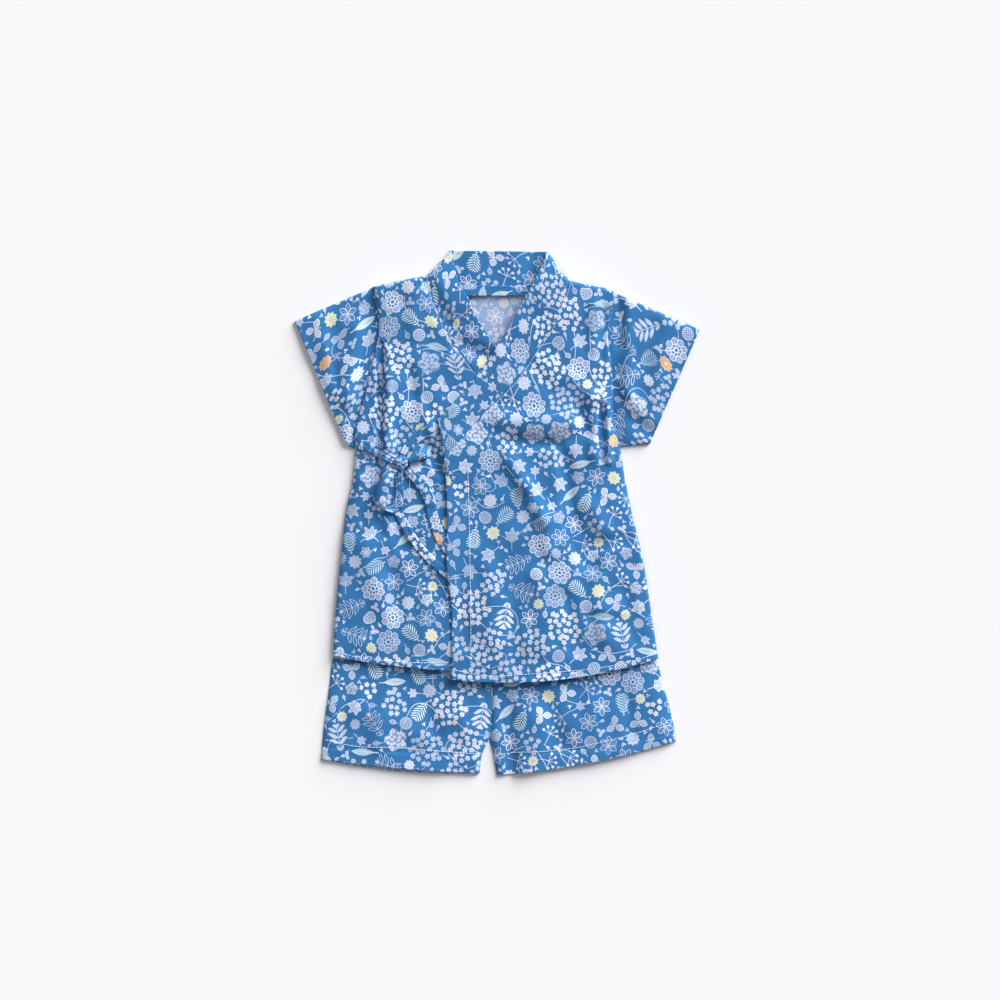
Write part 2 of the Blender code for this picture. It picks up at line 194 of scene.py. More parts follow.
SIDES = rows_of(
    Side,
    (206, -109.9, 105.2), (200, -108.6, 103.9, -12), (188, -106.2, 101.5, -6),
    (174, -104.4, 98.6, -2), (160, -105, 96.8), (146, -107.3, 98.6), (126, -112, 100.4),
    (106, -116.8, 101.2), (86, -122.6, 101.6), (70, -126.3, 103.8), (58, -127.7, 110.4),
    (34, -129.5, 114.5), (16, -133.6, 117.6), (-6, -136.6, 122.4), (-36, -140.2, 129.7),
    (-65, -143, 134.8, 2), (-100, -146.2, 140, 4), (-131, -147.4, 144.8, 6),
)
OVER_FRONT = rows_of(
    Front,
    (200.6, 64.6, 209.3), (188, 61.9, 198.9), (174, 57.2, 187.7), (158, 50, 169.4), (140, 33, 144),
    (120, 15.9, 118.8), (99.5, 0.7, 103.5), (77, -20.9, 79.2), (57, -47.3, 49.5), (34, -46, 30),
    (5, -45.2, 5), (-25, -45.2, -25), (-52, -45.2, -52, 1), (-77, -41.6, -79, 3),
    (-100, -40.8, -106, 6), (-118, -40.8, -130, 8), (-130.8, -41.1, -149.5, 10),
)
UNDER_FRONT = rows_of(
    Front,
    (204, -62.3, 214.2), (182, -55.7, 186.8), (170, -51.1, 176.8), (147, -39.2, 151),
    (127, -28.2, 138.2), (108, -20, 126.9), (88, -1, 103.5), (71, 20.5, 79.2), (57, 44, 49.5),
    (33, 44, 30), (5, 44, 5), (-24, 44, -24), (-52, 44, -53, 1), (-80, 44, -83, 3),
    (-106, 44, -113, 5), (-128.5, 44, -139.5, 7),
)
OVER_BAND_EDGE = (
    (45.2, 234.9), (38.5, 218.7), (32.5, 207), (25.9, 195.3), (12.3, 170), (-6.5, 140.4),
    (-19.4, 121.5), (-41, 97.2), (-53.3, 83.7),
)
UNDER_BAND_EDGE = (
    (-41.6, 235.6), (-33.5, 205.2), (-28.1, 197.1), (-20, 178.6), (-11, 163.8), (-2, 150.3),
    (19.4, 121.5), (41, 97.2), (50, 83.7),
)
BACK_STAND = rows_of(
    Row,
    (-43.6, 235.9, 45.6, 235), (-40, 220, 42, 219), (-37, 203, 36, 203),
)
NECK_TAPE = rows_of(
    Row,
    (-36, 204.4, 34, 204.4), (-32, 195.2, 29, 195.2),
)
LEFT_LEG = rows_of(
    Row,
    (-106, -47, -3.4, -47), (-116, -65, -3.4, -67), (-130, -90, -3.4, -94),
    (-141, -112, -3.4, -120), (-148.2, -132, -3.6, -142), (-150.6, -152, -4, -164),
    (-153.5, -174, -5.2, -185), (-156.6, -198, -7.8, -204.3), (-157.6, -210, -13.2, -216, 1),
    (-158.6, -221.4, -15.8, -234, 2),
)
RIGHT_LEG = rows_of(
    Row,
    (-3.4, -47, 106, -47), (-3.4, -67, 115, -65), (-3.4, -94, 128, -90), (-3.4, -120, 138, -112),
    (-3.6, -142, 143.8, -131.7), (-4, -164, 148.7, -151), (-5.2, -185, 153.4, -167),
    (-7, -204.3, 157.3, -184.5, 1), (-4.2, -214, 159.5, -195, 3), (-0.4, -235.6, 161.3, -204.9, 5),
)
LEFT_CUFF = ((-182.3, 172.8), (-136.1, 61.2))
RIGHT_CUFF = ((182.3, 165.2), (137.3, 62.2))
LEFT_ARMHOLE_Y = (204.0, 57.5)
RIGHT_ARMHOLE_Y = (199.0, 59.4)

# Largest folds, which the CAD has too
UNDER_FOLDS = rows_of(
    Fold,
    (-98, 122, -100, 60, 15, 1.8), (-100, 60, -110, 14, 14, 1.4),
)
OVER_FOLDS = rows_of(
    Fold,
    (-51, 96, -50, -66, 32, 1.3), (90, 104, 90, 52, 15, 1.8), (10, 50, 40, -4, 20, 1),
    (66, 34, 84, -44, 18, -1.1),
)
LEG_FOLDS = rows_of(
    Fold,
    (33, -178, 31, -232, 21, 2.3), (-120, -170, -70, -200, 16, 0.8),
)

# Creases of the top that lie in both fronts: ridges are positive, troughs negative
TOP_CREASES = rows_of(
    Fold,
    (6, 84, 64, 80, 16, 2.7), (12, 65, 54, 61, 10, -2.6), (60, 50, 66, -8, 11, -2.6),
    (66, -8, 82, -44, 12, -2.4), (80, -32, 116, -24, 10, -2), (82, 6, 96, -12, 14, 2.2),
    (12, 46, 26, 24, 12, 1.8), (26, 24, 42, -6, 12, 2.3), (42, -6, 46, -34, 11, 1.6),
    (84, 104, 86, 54, 9, 1.6), (93.5, 98, 94.5, 48, 4.6, -4.8), (99, 96, 101, 46, 5.5, 2.2),
    (88, 186, 86, 150, 10, 1.4), (98, 180, 93, 140, 7, -1.6), (66, 122, 90, 100, 12, 1.5),
    (72, 96, 84, 70, 9, -1.6), (30, 132, 52, 108, 12, -1.2), (-62, 60, -51, 38, 8, -3.6),
    (-74, 36, -62, 12, 10, 1.5), (-70, 98, -60, 74, 9, 1.3), (-105, 150, -105.5, 56, 4.6, -4.6),
    (-97.5, 146, -98, 60, 7.5, 2.3), (-106, 52, -113, 10, 5.5, -4.6), (-99, 38, -103, 10, 7.5, 2),
    (-122, 30, -128, -8, 9, 1.4), (-112, 12, -104, -18, 8, -1.4), (-88, 140, -90, 96, 10, 1.4),
    (-78, 128, -74, 100, 8, -1.2), (-62, 205, -44, 168, 11, -1.8), (-76, 196, -74, 160, 12, 1.3),
    (-34, 152, -10, 142, 12, -2.2), (-92, 0, -84, -30, 10, -1.2), (-118, -30, -104, -86, 15, 1.4),
    (-94, -54, -86, -112, 11, -1.3), (-62, -72, -66, -118, 13, 1.2),
    (-32, -60, -29, -118, 10, -1.3), (-8, -52, -4, -116, 13, 1.3), (14, -74, 18, -134, 11, -1.2),
    (36, -58, 44, -122, 14, 1.3), (62, -76, 70, -122, 11, -1.5), (90, -62, 98, -112, 14, 1.5),
    (114, -70, 126, -112, 10, -1.3), (84, -92, 118, -98, 8, -1),
)
SLEEVE_CREASES = rows_of(
    Fold,
    (107, 197, 111, 150, 7, -2.8), (118, 192, 116, 108, 9, 1.8), (140, 168, 130, 112, 12, -1.3),
    (154, 168, 140, 104, 11, 0.9), (120, 86, 138, 72, 10, -1.6), (112, 116, 126, 94, 9, 1.3),
    (-113, 188, -114, 150, 8, -2.6), (-114, 150, -122, 92, 9, -2.6), (-124, 178, -133, 96, 9, 1.5),
    (-124, 92, -128, 66, 7, -1.6), (-130, 166, -136, 104, 12, 1.4), (-147, 166, -146, 118, 9, -1.1),
    (-160, 172, -152, 120, 11, 0.8),
)
LEG_CREASES = rows_of(
    Fold,
    (-9, -158, -9, -208, 7, -2.2), (-38, -164, -28, -200, 12, 1.3),
    (-66, -166, -54, -200, 11, -1.2), (-102, -168, -108, -208, 13, 1.1),
    (-134, -164, -141, -200, 10, -1.2), (7, -168, 13, -232, 10, -2.4),
    (44, -166, 58, -208, 12, -1.3), (82, -162, 90, -200, 13, 1.3), (116, -158, 120, -196, 10, -1.2),
    (138, -152, 146, -186, 11, 0.9),
)

# The bow's ties and loops, from the seam or the knot onwards, each station's lift over the cloth
FROM_NECKBAND = rows_of(
    Station,
    (-49, 86, 0, 10), (-57, 79, 0.1, 10), (-66, 72.3, 0.3, 10), (-75.5, 64.5, 0.8, 9),
    (-82, 57, 1.3, 7), (-84.4, 52.4, 1.6, 6),
)
FROM_SIDE = rows_of(
    Station,
    (-123, 61.5, 0.1, 9), (-115, 59, 0.6, 9), (-106, 54.5, 1, 9), (-99, 50.5, 1.4, 8.5),
    (-92.8, 47.4, 1.6, 8),
)
UPPER_LOOP = rows_of(
    Station,
    (-79.6, 47.8, 0.1, 6), (-74.2, 52.4, 0.1, 8.5), (-65.4, 57.9, 0.5, 10), (-61.6, 57.6, 2.4, 10),
    (-63.6, 54.6, 4.2, 9.6), (-73, 49.6, 4.5, 8), (-79, 46.4, 3.9, 6),
)
LOWER_LOOP = rows_of(
    Station,
    (-88.6, 38.8, 0.1, 7), (-88.4, 29, 0.1, 8), (-87.6, 17, 0.1, 8), (-89.8, 7.2, 0.6, 8.5),
    (-97.6, 2, 2.2, 10), (-104.2, 6.6, 3.9, 10.5), (-104, 15, 4.8, 10.5), (-99, 29, 4.7, 9.5),
    (-92.6, 38.8, 4.1, 7),
)
NECKBAND_TAIL = rows_of(
    Station,
    (-80, 39.4, 0.6, 8), (-73, 31, 0.1, 9), (-65.5, 22, 0, 10), (-60.5, 11, 0, 10),
    (-58, -3, 0, 10), (-53.5, -16, 0, 10), (-46, -30, 0, 10), (-41, -36, 0, 10),
)
SIDE_TAIL = rows_of(
    Station,
    (-89, 1, 0, 8), (-84, -9, 0, 8), (-77, -21, 0, 8), (-68.5, -32.5, 0, 8), (-59, -42.5, 0, 8),
    (-49, -51.5, 0, 8), (-40, -58, 0, 8),
)

# Lines of stitches
UNDER_HEM_LINE = (
    (-147, -124.5), (-128, -129), (-102, -132.6), (-70, -134.4), (-43, -134),
)
OVER_HEM_LINE = (
    (-38, -141), (-9, -146.2), (22.3, -144.9), (47.5, -143.1), (90.7, -139.2), (110.5, -135.5),
    (143, -126.5),
)
FACING_LINE = (
    (-26.5, 40), (-26, 22), (-25, -20), (-24, -80), (-23.5, -138),
)
LEFT_LEG_LINE = (
    (-155, -204), (-127, -209.7), (-95.6, -210.6), (-64, -213.1), (-32.6, -215.6), (-14.5, -217),
)
RIGHT_LEG_LINE = (
    (-2, -218.5), (13.3, -215.6), (41.2, -214.2), (72.7, -210.6), (97.9, -204.9), (123.1, -198.6),
    (155.5, -187.5),
)

# Soft unevenness of cloth that has been laid by hand: wave numbers, phase and height
RIPPLES = (
    (0.071, 0.052, 0.4, 0.3), (-0.118, 0.063, 2.1, 0.24), (0.049, -0.137, 4, 0.24),
    (0.171, 0.094, 1.2, 0.19), (-0.083, -0.201, 5.3, 0.17), (0.236, -0.127, 3.3, 0.13),
)


def ease(start: float, end: float, value: np.ndarray) -> np.ndarray:
    """Returns 0 at start and 1 at end, with a soft change between; start may be above end."""
    share = np.clip((value - start) / (end - start), 0.0, 1.0)
    return share * share * (3.0 - 2.0 * share)


def hermite(run: np.ndarray, table: np.ndarray, at: np.ndarray) -> np.ndarray:
    """Reads a smooth curve through every row of a table.

    Args:
        run: distance of each row along the curve.
        table: one row of columns for each distance.
        at: distances at which the curve is read.

    Returns:
        One row of columns for each distance in at.
    """
    slopes = np.gradient(table, run, axis=0)
    index = np.clip(np.searchsorted(run, at, side="right") - 1, 0, len(run) - 2)
    length = (run[index + 1] - run[index])[:, None]
    share = (at[:, None] - run[index][:, None]) / length
    square, cube = share**2, share**3
    value = (2 * cube - 3 * square + 1) * table[index]
    value += (cube - 2 * square + share) * length * slopes[index]
    value += (3 * square - 2 * cube) * table[index + 1]
    value += (cube - square) * length * slopes[index + 1]
    return value


def spaced(length: float, spacing: float, extra: Sequence[float] = ()) -> np.ndarray:
    """Spreads points along a line, closer together at both of its ends.

    Args:
        length: length of the line.
        spacing: usual distance between two points.
        extra: distances at which a point has to lie as well.

    Returns:
        Distances from 0 to length.
    """
    steps = max(2, round(length / spacing))
    places = [*np.linspace(0.0, length, steps + 1), *extra, *END_STEPS]
    places += [length - step for step in END_STEPS]
    kept = [0.0]
    for place in sorted(places):
        if place - kept[-1] > CLOSEST and place < length - CLOSEST:
            kept.append(place)
    return np.array(kept + [length])


def hem_lines(length: float, hem: float) -> tuple[float, float, float]:
    """Returns three distances at a hem's line of stitches, where points have to be close."""
    line = length - hem
    return (line - HEM_LINE, line, line + HEM_LINE)


def arc(distance: np.ndarray, reach: float) -> np.ndarray:
    """Returns the share of its height that a rounded edge has at a distance from its end."""
    return np.sqrt(1.0 - np.clip(1.0 - distance / reach, 0.0, 1.0) ** 2)


SIDE_TABLE = np.array(SIDES)


def side_x(y: np.ndarray, column: int) -> np.ndarray:
    """Reads one of the top's side lines.

    Args:
        y: places along the top.
        column: 1 for the left side, 2 for the right.

    Returns:
        The x of that side at each place.
    """
    table = SIDE_TABLE[::-1]
    y = np.clip(np.asarray(y, float), table[0, 0], table[-1, 0])
    return hermite(table[:, 0], table[:, [column]], y.ravel())[:, 0].reshape(y.shape)


def fold_height(folds: Sequence[Fold], x: np.ndarray, y: np.ndarray) -> np.ndarray:
    """Adds up folds, each of which fades sideways and past its ends.

    Args:
        folds: the folds.
        x: places across.
        y: places along.

    Returns:
        The height that they add.
    """
    total = np.zeros_like(x)
    for fold in folds:
        run_x, run_y = fold.end_x - fold.start_x, fold.end_y - fold.start_y
        share = ((x - fold.start_x) * run_x + (y - fold.start_y) * run_y) / (run_x**2 + run_y**2)
        share = np.clip(share, 0.0, 1.0)
        away = np.hypot(x - fold.start_x - share * run_x, y - fold.start_y - share * run_y)
        near = np.minimum(away / fold.reach, 1.0)
        total += fold.height * 0.5 * (1.0 + np.cos(math.pi * near))
    return total


def ripple_height(x: np.ndarray, y: np.ndarray) -> np.ndarray:
    """Returns the soft unevenness of laid cloth."""
    return sum(height * np.sin(kx * x + ky * y + phase) for kx, ky, phase, height in RIPPLES)


def back_height(x: np.ndarray, y: np.ndarray) -> np.ndarray:
    """Returns the underside of the back panel: on the ground, then up over the shorts."""
    return SHORTS_LIFT * ease(*OVER_SHORTS_Y, y)


def front_height(x: np.ndarray, y: np.ndarray) -> np.ndarray:
    """Finds how high a front lies before its folds are added.

    Args:
        x: places across.
        y: places along.

    Returns:
        The height of its underside.
    """
    from_side = np.maximum(np.minimum(x - side_x(y, 1), side_x(y, 2) - x), 0.0)
    puff = PUFF * (1.0 - np.exp(-from_side / PUFF_REACH))
    puff = puff * (1.0 - (1.0 - HEM_PUFF_SHARE) * ease(*TO_HEM_Y, y))
    chest = CHEST_LIFT * ease(*CHEST_Y, y)
    neck = NECK_LIFT * ease(*NECK_Y, y)
    return back_height(x, y) + WALL + GAP + chest + neck + puff


def relief(x: np.ndarray, y: np.ndarray) -> np.ndarray:
    """Returns what creases add to both fronts, never so low that a front meets the back."""
    room = front_height(x, y) - back_height(x, y) - WALL
    raised = CREASE_SHARE * fold_height(TOP_CREASES, x, y) + ripple_height(x, y)
    return np.maximum(raised, -CREASE_ROOM * room)


def under_top(x: np.ndarray, y: np.ndarray) -> np.ndarray:
    """Returns the upper face of the front that lies below."""
    return front_height(x, y) + WALL + fold_height(UNDER_FOLDS, x, y) + relief(x, y)


def over_top(x: np.ndarray, y: np.ndarray) -> np.ndarray:
    """Returns the upper face of the front that lies on top."""
    overlap = OVERLAP_LIFT * ease(*OVERLAP_X, x)
    folds = fold_height(OVER_FOLDS, x, y)
    return front_height(x, y) + WALL + overlap + folds + relief(x, y)


def band_top(front_top: Height, above: float, end: float) -> Height:
    """Returns the upper face of a neckband, which comes down from its front to the stand.

    Args:
        front_top: upper face of its front.
        above: how far the band lies above that.
        end: its level where it meets the stand.

    Returns:
        The height of the band at its points.
    """

    def top(x: np.ndarray, y: np.ndarray) -> np.ndarray:
        """Returns the height at these points."""
        level = front_top(x, y) + above
        return level + (end - level) * ease(*TO_STAND_Y, y)

    return top


under_band_top = band_top(under_top, 0.25, 4.2)
over_band_top = band_top(over_top, 0.35, 7.0)


def stand_top(x: np.ndarray, y: np.ndarray) -> np.ndarray:
    """Returns the inner face of the stand behind the neck, which dips beside the upper band."""
    dip = 1.8 * np.exp(-(((x - 31.0) / 9.0) ** 2)) + 0.5 * np.exp(-(((x + 34.0) / 7.0) ** 2))
    return 2.6 - dip + 0.25 * np.sin(x * 0.16 + y * 0.05)


def tape_top(x: np.ndarray, y: np.ndarray) -> np.ndarray:
    """Returns the upper face of the tape over the neck seam."""
    return 3.9 + 0.2 * np.sin(x * 0.19)


def back_top(x: np.ndarray, y: np.ndarray) -> np.ndarray:
    """Returns the upper face of the back panel."""
    return back_height(x, y) + CLOTH


def leg_front_top(x: np.ndarray, y: np.ndarray) -> np.ndarray:
    """Finds how high the front of the shorts lies, which fills out below the top's hem.

    Args:
        x: places across.
        y: places along.

    Returns:
        The height of its upper face.
    """
    open_part = ease(*SHORTS_FULL_Y, y)
    from_side = np.maximum(np.minimum(np.abs(x - LEG_SPLIT_X), LEG_SIDE_X - np.abs(x)), 0.0)
    puff = LEG_PUFF * (1.0 - np.exp(-from_side / PUFF_REACH))
    folds = fold_height(LEG_FOLDS, x, y)
    soft = fold_height(LEG_CREASES, x, y) + ripple_height(x, y)
    soft = soft * ease(*SHORTS_SEEN_Y, y)
    return 2.0 * WALL + GAP + np.maximum(open_part * (puff + folds) + soft, -LEG_ROOM)


def flat_top(height: float) -> Height:
    """Returns a face that lies level at this height."""
    return lambda x, y: np.full_like(x, height)


@dataclass(frozen=True)
class Signal:
    """A value on its way through a node tree, which takes part in sums as a number does.

    A comparison gives 1 where it holds and 0 elsewhere. Of two shapes, "or" keeps the larger
    value, which joins them, and "and" the smaller, which leaves what both cover.

    Args:
        tree: the node tree it runs in.
        socket: the socket that gives it.
    """

    tree: bpy.types.NodeTree
    socket: bpy.types.NodeSocket

    def math(self, operation: str, *others: Signal | float) -> Signal:
        """Returns the result of one sum on this value and the others."""
        inputs = dict(enumerate((self, *others)))
        node = add_node(self.tree, "ShaderNodeMath", {"operation": operation}, inputs)
        return Signal(self.tree, node.outputs[0])

    def __rsub__(self, other: float) -> Signal:
        """Returns a number minus this value."""
        return self.math("MULTIPLY_ADD", -1.0, other)

    def __rtruediv__(self, other: float) -> Signal:
        """Returns a number divided by this value."""
        return self.math("POWER", -1.0) * other

    __add__ = __radd__ = partialmethod(math, "ADD")
    __sub__ = partialmethod(math, "SUBTRACT")
    __mul__ = __rmul__ = partialmethod(math, "MULTIPLY")
    __truediv__ = partialmethod(math, "DIVIDE")
    __gt__ = partialmethod(math, "GREATER_THAN")
    __lt__ = partialmethod(math, "LESS_THAN")
    __or__ = partialmethod(math, "MAXIMUM")
    __and__ = partialmethod(math, "MINIMUM")
    __abs__ = partialmethod(math, "ABSOLUTE")


def add_node(
    tree: bpy.types.NodeTree,
    kind: str,
    settings: dict[str, object] | None = None,
    inputs: dict[int | str, object] | None = None,
) -> bpy.types.Node:
    """Adds one node with its settings and links.

    Args:
        tree: the node tree that it joins.
        kind: the node's type.
        settings: attributes of the node and their values.
        inputs: for each input, a Signal or a socket to link, or a plain value to set.

    Returns:
        The new node.
    """
    node = tree.nodes.new(kind)
    for name, value in (settings or {}).items():
        setattr(node, name, value)
    for name, value in (inputs or {}).items():
        socket = value.socket if isinstance(value, Signal) else value
        if isinstance(socket, bpy.types.NodeSocket):
            tree.links.new(socket, node.inputs[name])
        else:
            node.inputs[name].default_value = socket
    return node


def linear(code: str) -> tuple[float, float, float, float]:
    """Turns an sRGB hex colour such as #4681B3 to linear RGBA."""
    parts = [int(code[start : start + 2], 16) / 255.0 for start in (1, 3, 5)]
    curve = [part / 12.92 if part <= 0.04045 else ((part + 0.055) / 1.055) ** 2.4 for part in parts]
    return (curve[0], curve[1], curve[2], 1.0)


def new_material(name: str, values: dict[str, object]) -> bpy.types.Material:
    """Makes a material with plain values on its shader.

    Args:
        name: its name.
        values: the value of each of the shader's sockets.

    Returns:
        The new material.
    """
    material = bpy.data.materials.new(name)
    material.use_nodes = True
    shader = material.node_tree.nodes["Principled BSDF"]
    for socket, value in values.items():
        shader.inputs[socket].default_value = value
    return material


def new_object(name: str, data: bpy.types.ID) -> bpy.types.Object:
    """Returns a new object of the scene with this mesh, light or camera."""
    made = bpy.data.objects.new(name, data)
    bpy.context.scene.collection.objects.link(made)
    return made


class Motif(Enum):
    """Ordinary garden motifs of the print, all drawn from formulas."""

    CLUSTER = 1
    MAPLE = 2
    BLOOM = 3
    SIX_PETALS = 4
    THREE_LEAVES = 5
    SPRIG = 6
    BRANCH = 7
    EAR = 8
    SEED_BALL = 9
    LEAF = 10
    DAISY = 11
    MOPHEAD = 12
    UMBEL = 13


class MotifPlan(NamedTuple):
    """How many of one motif the repeat holds, and how large. A long one is a row of discs."""

    motif: Motif
    count: int
    radius: float
    long: bool = False


@dataclass
class PrintRepeat:
    """The repeat of the print: a tile packed with motifs, largest first, from a fixed seed.

    Args:
        tile: width and length of the repeat.
        line: half of the width of a drawn line; real ones are about half as wide, too fine to
            show in the render.
        step: spacing of the places where a motif may lie.
        snug: spare room that still counts as a snug place.
        tries: how often a motif is tried at new places.
        long_disc: radius of each disc of a long motif, as a share of the motif's own.
        long_shift: distance of its outer discs from its middle, as such a share.
        seed: seed of its chances.
        plans: its motifs, largest first.
    """

    tile: tuple[float, float] = (236.0, 284.0)
    line: float = 0.40
    step: float = 1.0
    snug: float = 1.2
    tries: int = 40
    long_disc: float = 0.36
    long_shift: float = 0.64
    seed: int = 11
    plans: tuple[MotifPlan, ...] = rows_of(
        MotifPlan,
        (Motif.CLUSTER, 8, 17), (Motif.MOPHEAD, 8, 11), (Motif.BRANCH, 8, 12.5),
        (Motif.CLUSTER, 9, 13), (Motif.BLOOM, 9, 11), (Motif.MAPLE, 14, 10.2),
        (Motif.EAR, 16, 12.5, True), (Motif.SPRIG, 12, 10), (Motif.THREE_LEAVES, 13, 9.4),
        (Motif.SIX_PETALS, 14, 9), (Motif.UMBEL, 9, 8.6), (Motif.CLUSTER, 15, 9),
        (Motif.DAISY, 13, 6.8), (Motif.SEED_BALL, 9, 6.2), (Motif.MAPLE, 14, 6.6),
        (Motif.MOPHEAD, 12, 6.2), (Motif.DAISY, 10, 5.4), (Motif.SIX_PETALS, 20, 5.8),
        (Motif.CLUSTER, 40, 5.6), (Motif.THREE_LEAVES, 30, 4.8), (Motif.LEAF, 26, 4.4),
        (Motif.UMBEL, 24, 4.2), (Motif.CLUSTER, 60, 3.9), (Motif.LEAF, 110, 2.8),
        (Motif.CLUSTER, 60, 3), (Motif.THREE_LEAVES, 150, 2.2),
    )
    discs: np.ndarray = field(init=False)

    def __post_init__(self) -> None:
        """Packs the tile."""
        self.discs = self.pack()

    def pack(self) -> np.ndarray:
        """Places each motif where it fits snugly.

        Returns:
            One row for each disc: x, y, disc radius, motif's x, y, angle, kind, radius and chance.
        """
        draw = np.random.default_rng(self.seed)
        axes = [np.arange(0.0, side, self.step) for side in self.tile]
        grid = np.stack(np.meshgrid(*axes, indexing="ij"), -1)
        clear = np.full(grid.shape[:2], np.inf)
        rows: list[tuple[float, ...]] = []
        for plan in self.plans:
            disc = plan.radius * (self.long_disc if plan.long else 1.0)
            shifts = (-self.long_shift, 0.0, self.long_shift) if plan.long else (0.0,)
            for _ in range(plan.count):
                fits = np.argwhere(clear >= disc)
                if len(fits) == 0:
                    break
                snug = fits[clear[fits[:, 0], fits[:, 1]] < disc + self.snug]
                for _ in range(self.tries):
                    middle = draw.choice(snug if len(snug) else fits) * self.step
                    angle = draw.uniform(0.0, 2.0 * math.pi)
                    axis = np.array([-math.sin(angle), math.cos(angle)])
                    places = [(middle + axis * shift * plan.radius) % self.tile for shift in shifts]
                    if all(self.room(clear, place) >= disc for place in places):
                        chance = draw.uniform()
                        break
                else:
                    break
                for place in places:
                    row = (*place, disc, *middle, angle, plan.motif.value, plan.radius, chance)
                    rows.append(row)
                    away = self.wrapped(grid - place)
                    clear = np.minimum(clear, np.hypot(away[..., 0], away[..., 1]) - disc)
        return np.array(rows)

    def room(self, clear: np.ndarray, place: np.ndarray) -> float:
        """Returns the clear radius at the grid point nearest to a place."""
        index = np.round(place / self.step).astype(int) % clear.shape
        return float(clear[index[0], index[1]])

    def wrapped(self, away: np.ndarray) -> np.ndarray:
        """Returns offsets taken across the edges of the repeat where that is shorter."""
        half = np.array(self.tile) / 2.0
        return (away + half) % self.tile - half

    def lay(self, corners: np.ndarray) -> dict[str, np.ndarray]:
        """Finds each face's motif and gives its corners their place in that motif.

        Args:
            corners: places of each face's four corners on the uncut cloth.

        Returns:
            Three maps for every corner: the place in the motif, its kind with the line's half
            width, and its chance with its angle.
        """
        middle = corners.mean(axis=1)
        best = np.full(len(middle), np.inf)
        pick = np.zeros(len(middle), int)
        for index, disc in enumerate(self.discs):
            away = self.wrapped(middle - disc[:2])
            depth = np.hypot(away[:, 0], away[:, 1]) - disc[2]
            nearer = depth < best
            best[nearer] = depth[nearer]
            pick[nearer] = index
        home_x, home_y, angle, kind, radius, chance = self.discs[pick, 3:].T[..., None]
        home = middle - self.wrapped(middle - np.concatenate((home_x, home_y), 1))
        x, y = np.moveaxis(corners - home[:, None, :], -1, 0)
        turned = (
            x * np.cos(angle) + y * np.sin(angle),
            y * np.cos(angle) - x * np.sin(angle),
        )
        every = np.ones_like(x)
        return {
            "Pattern": np.stack(turned, -1) / radius[..., None],
            "PatternKind": np.stack((kind * every, self.line / radius * every), -1),
            "PatternChance": np.stack((chance * every, angle * every), -1),
        }


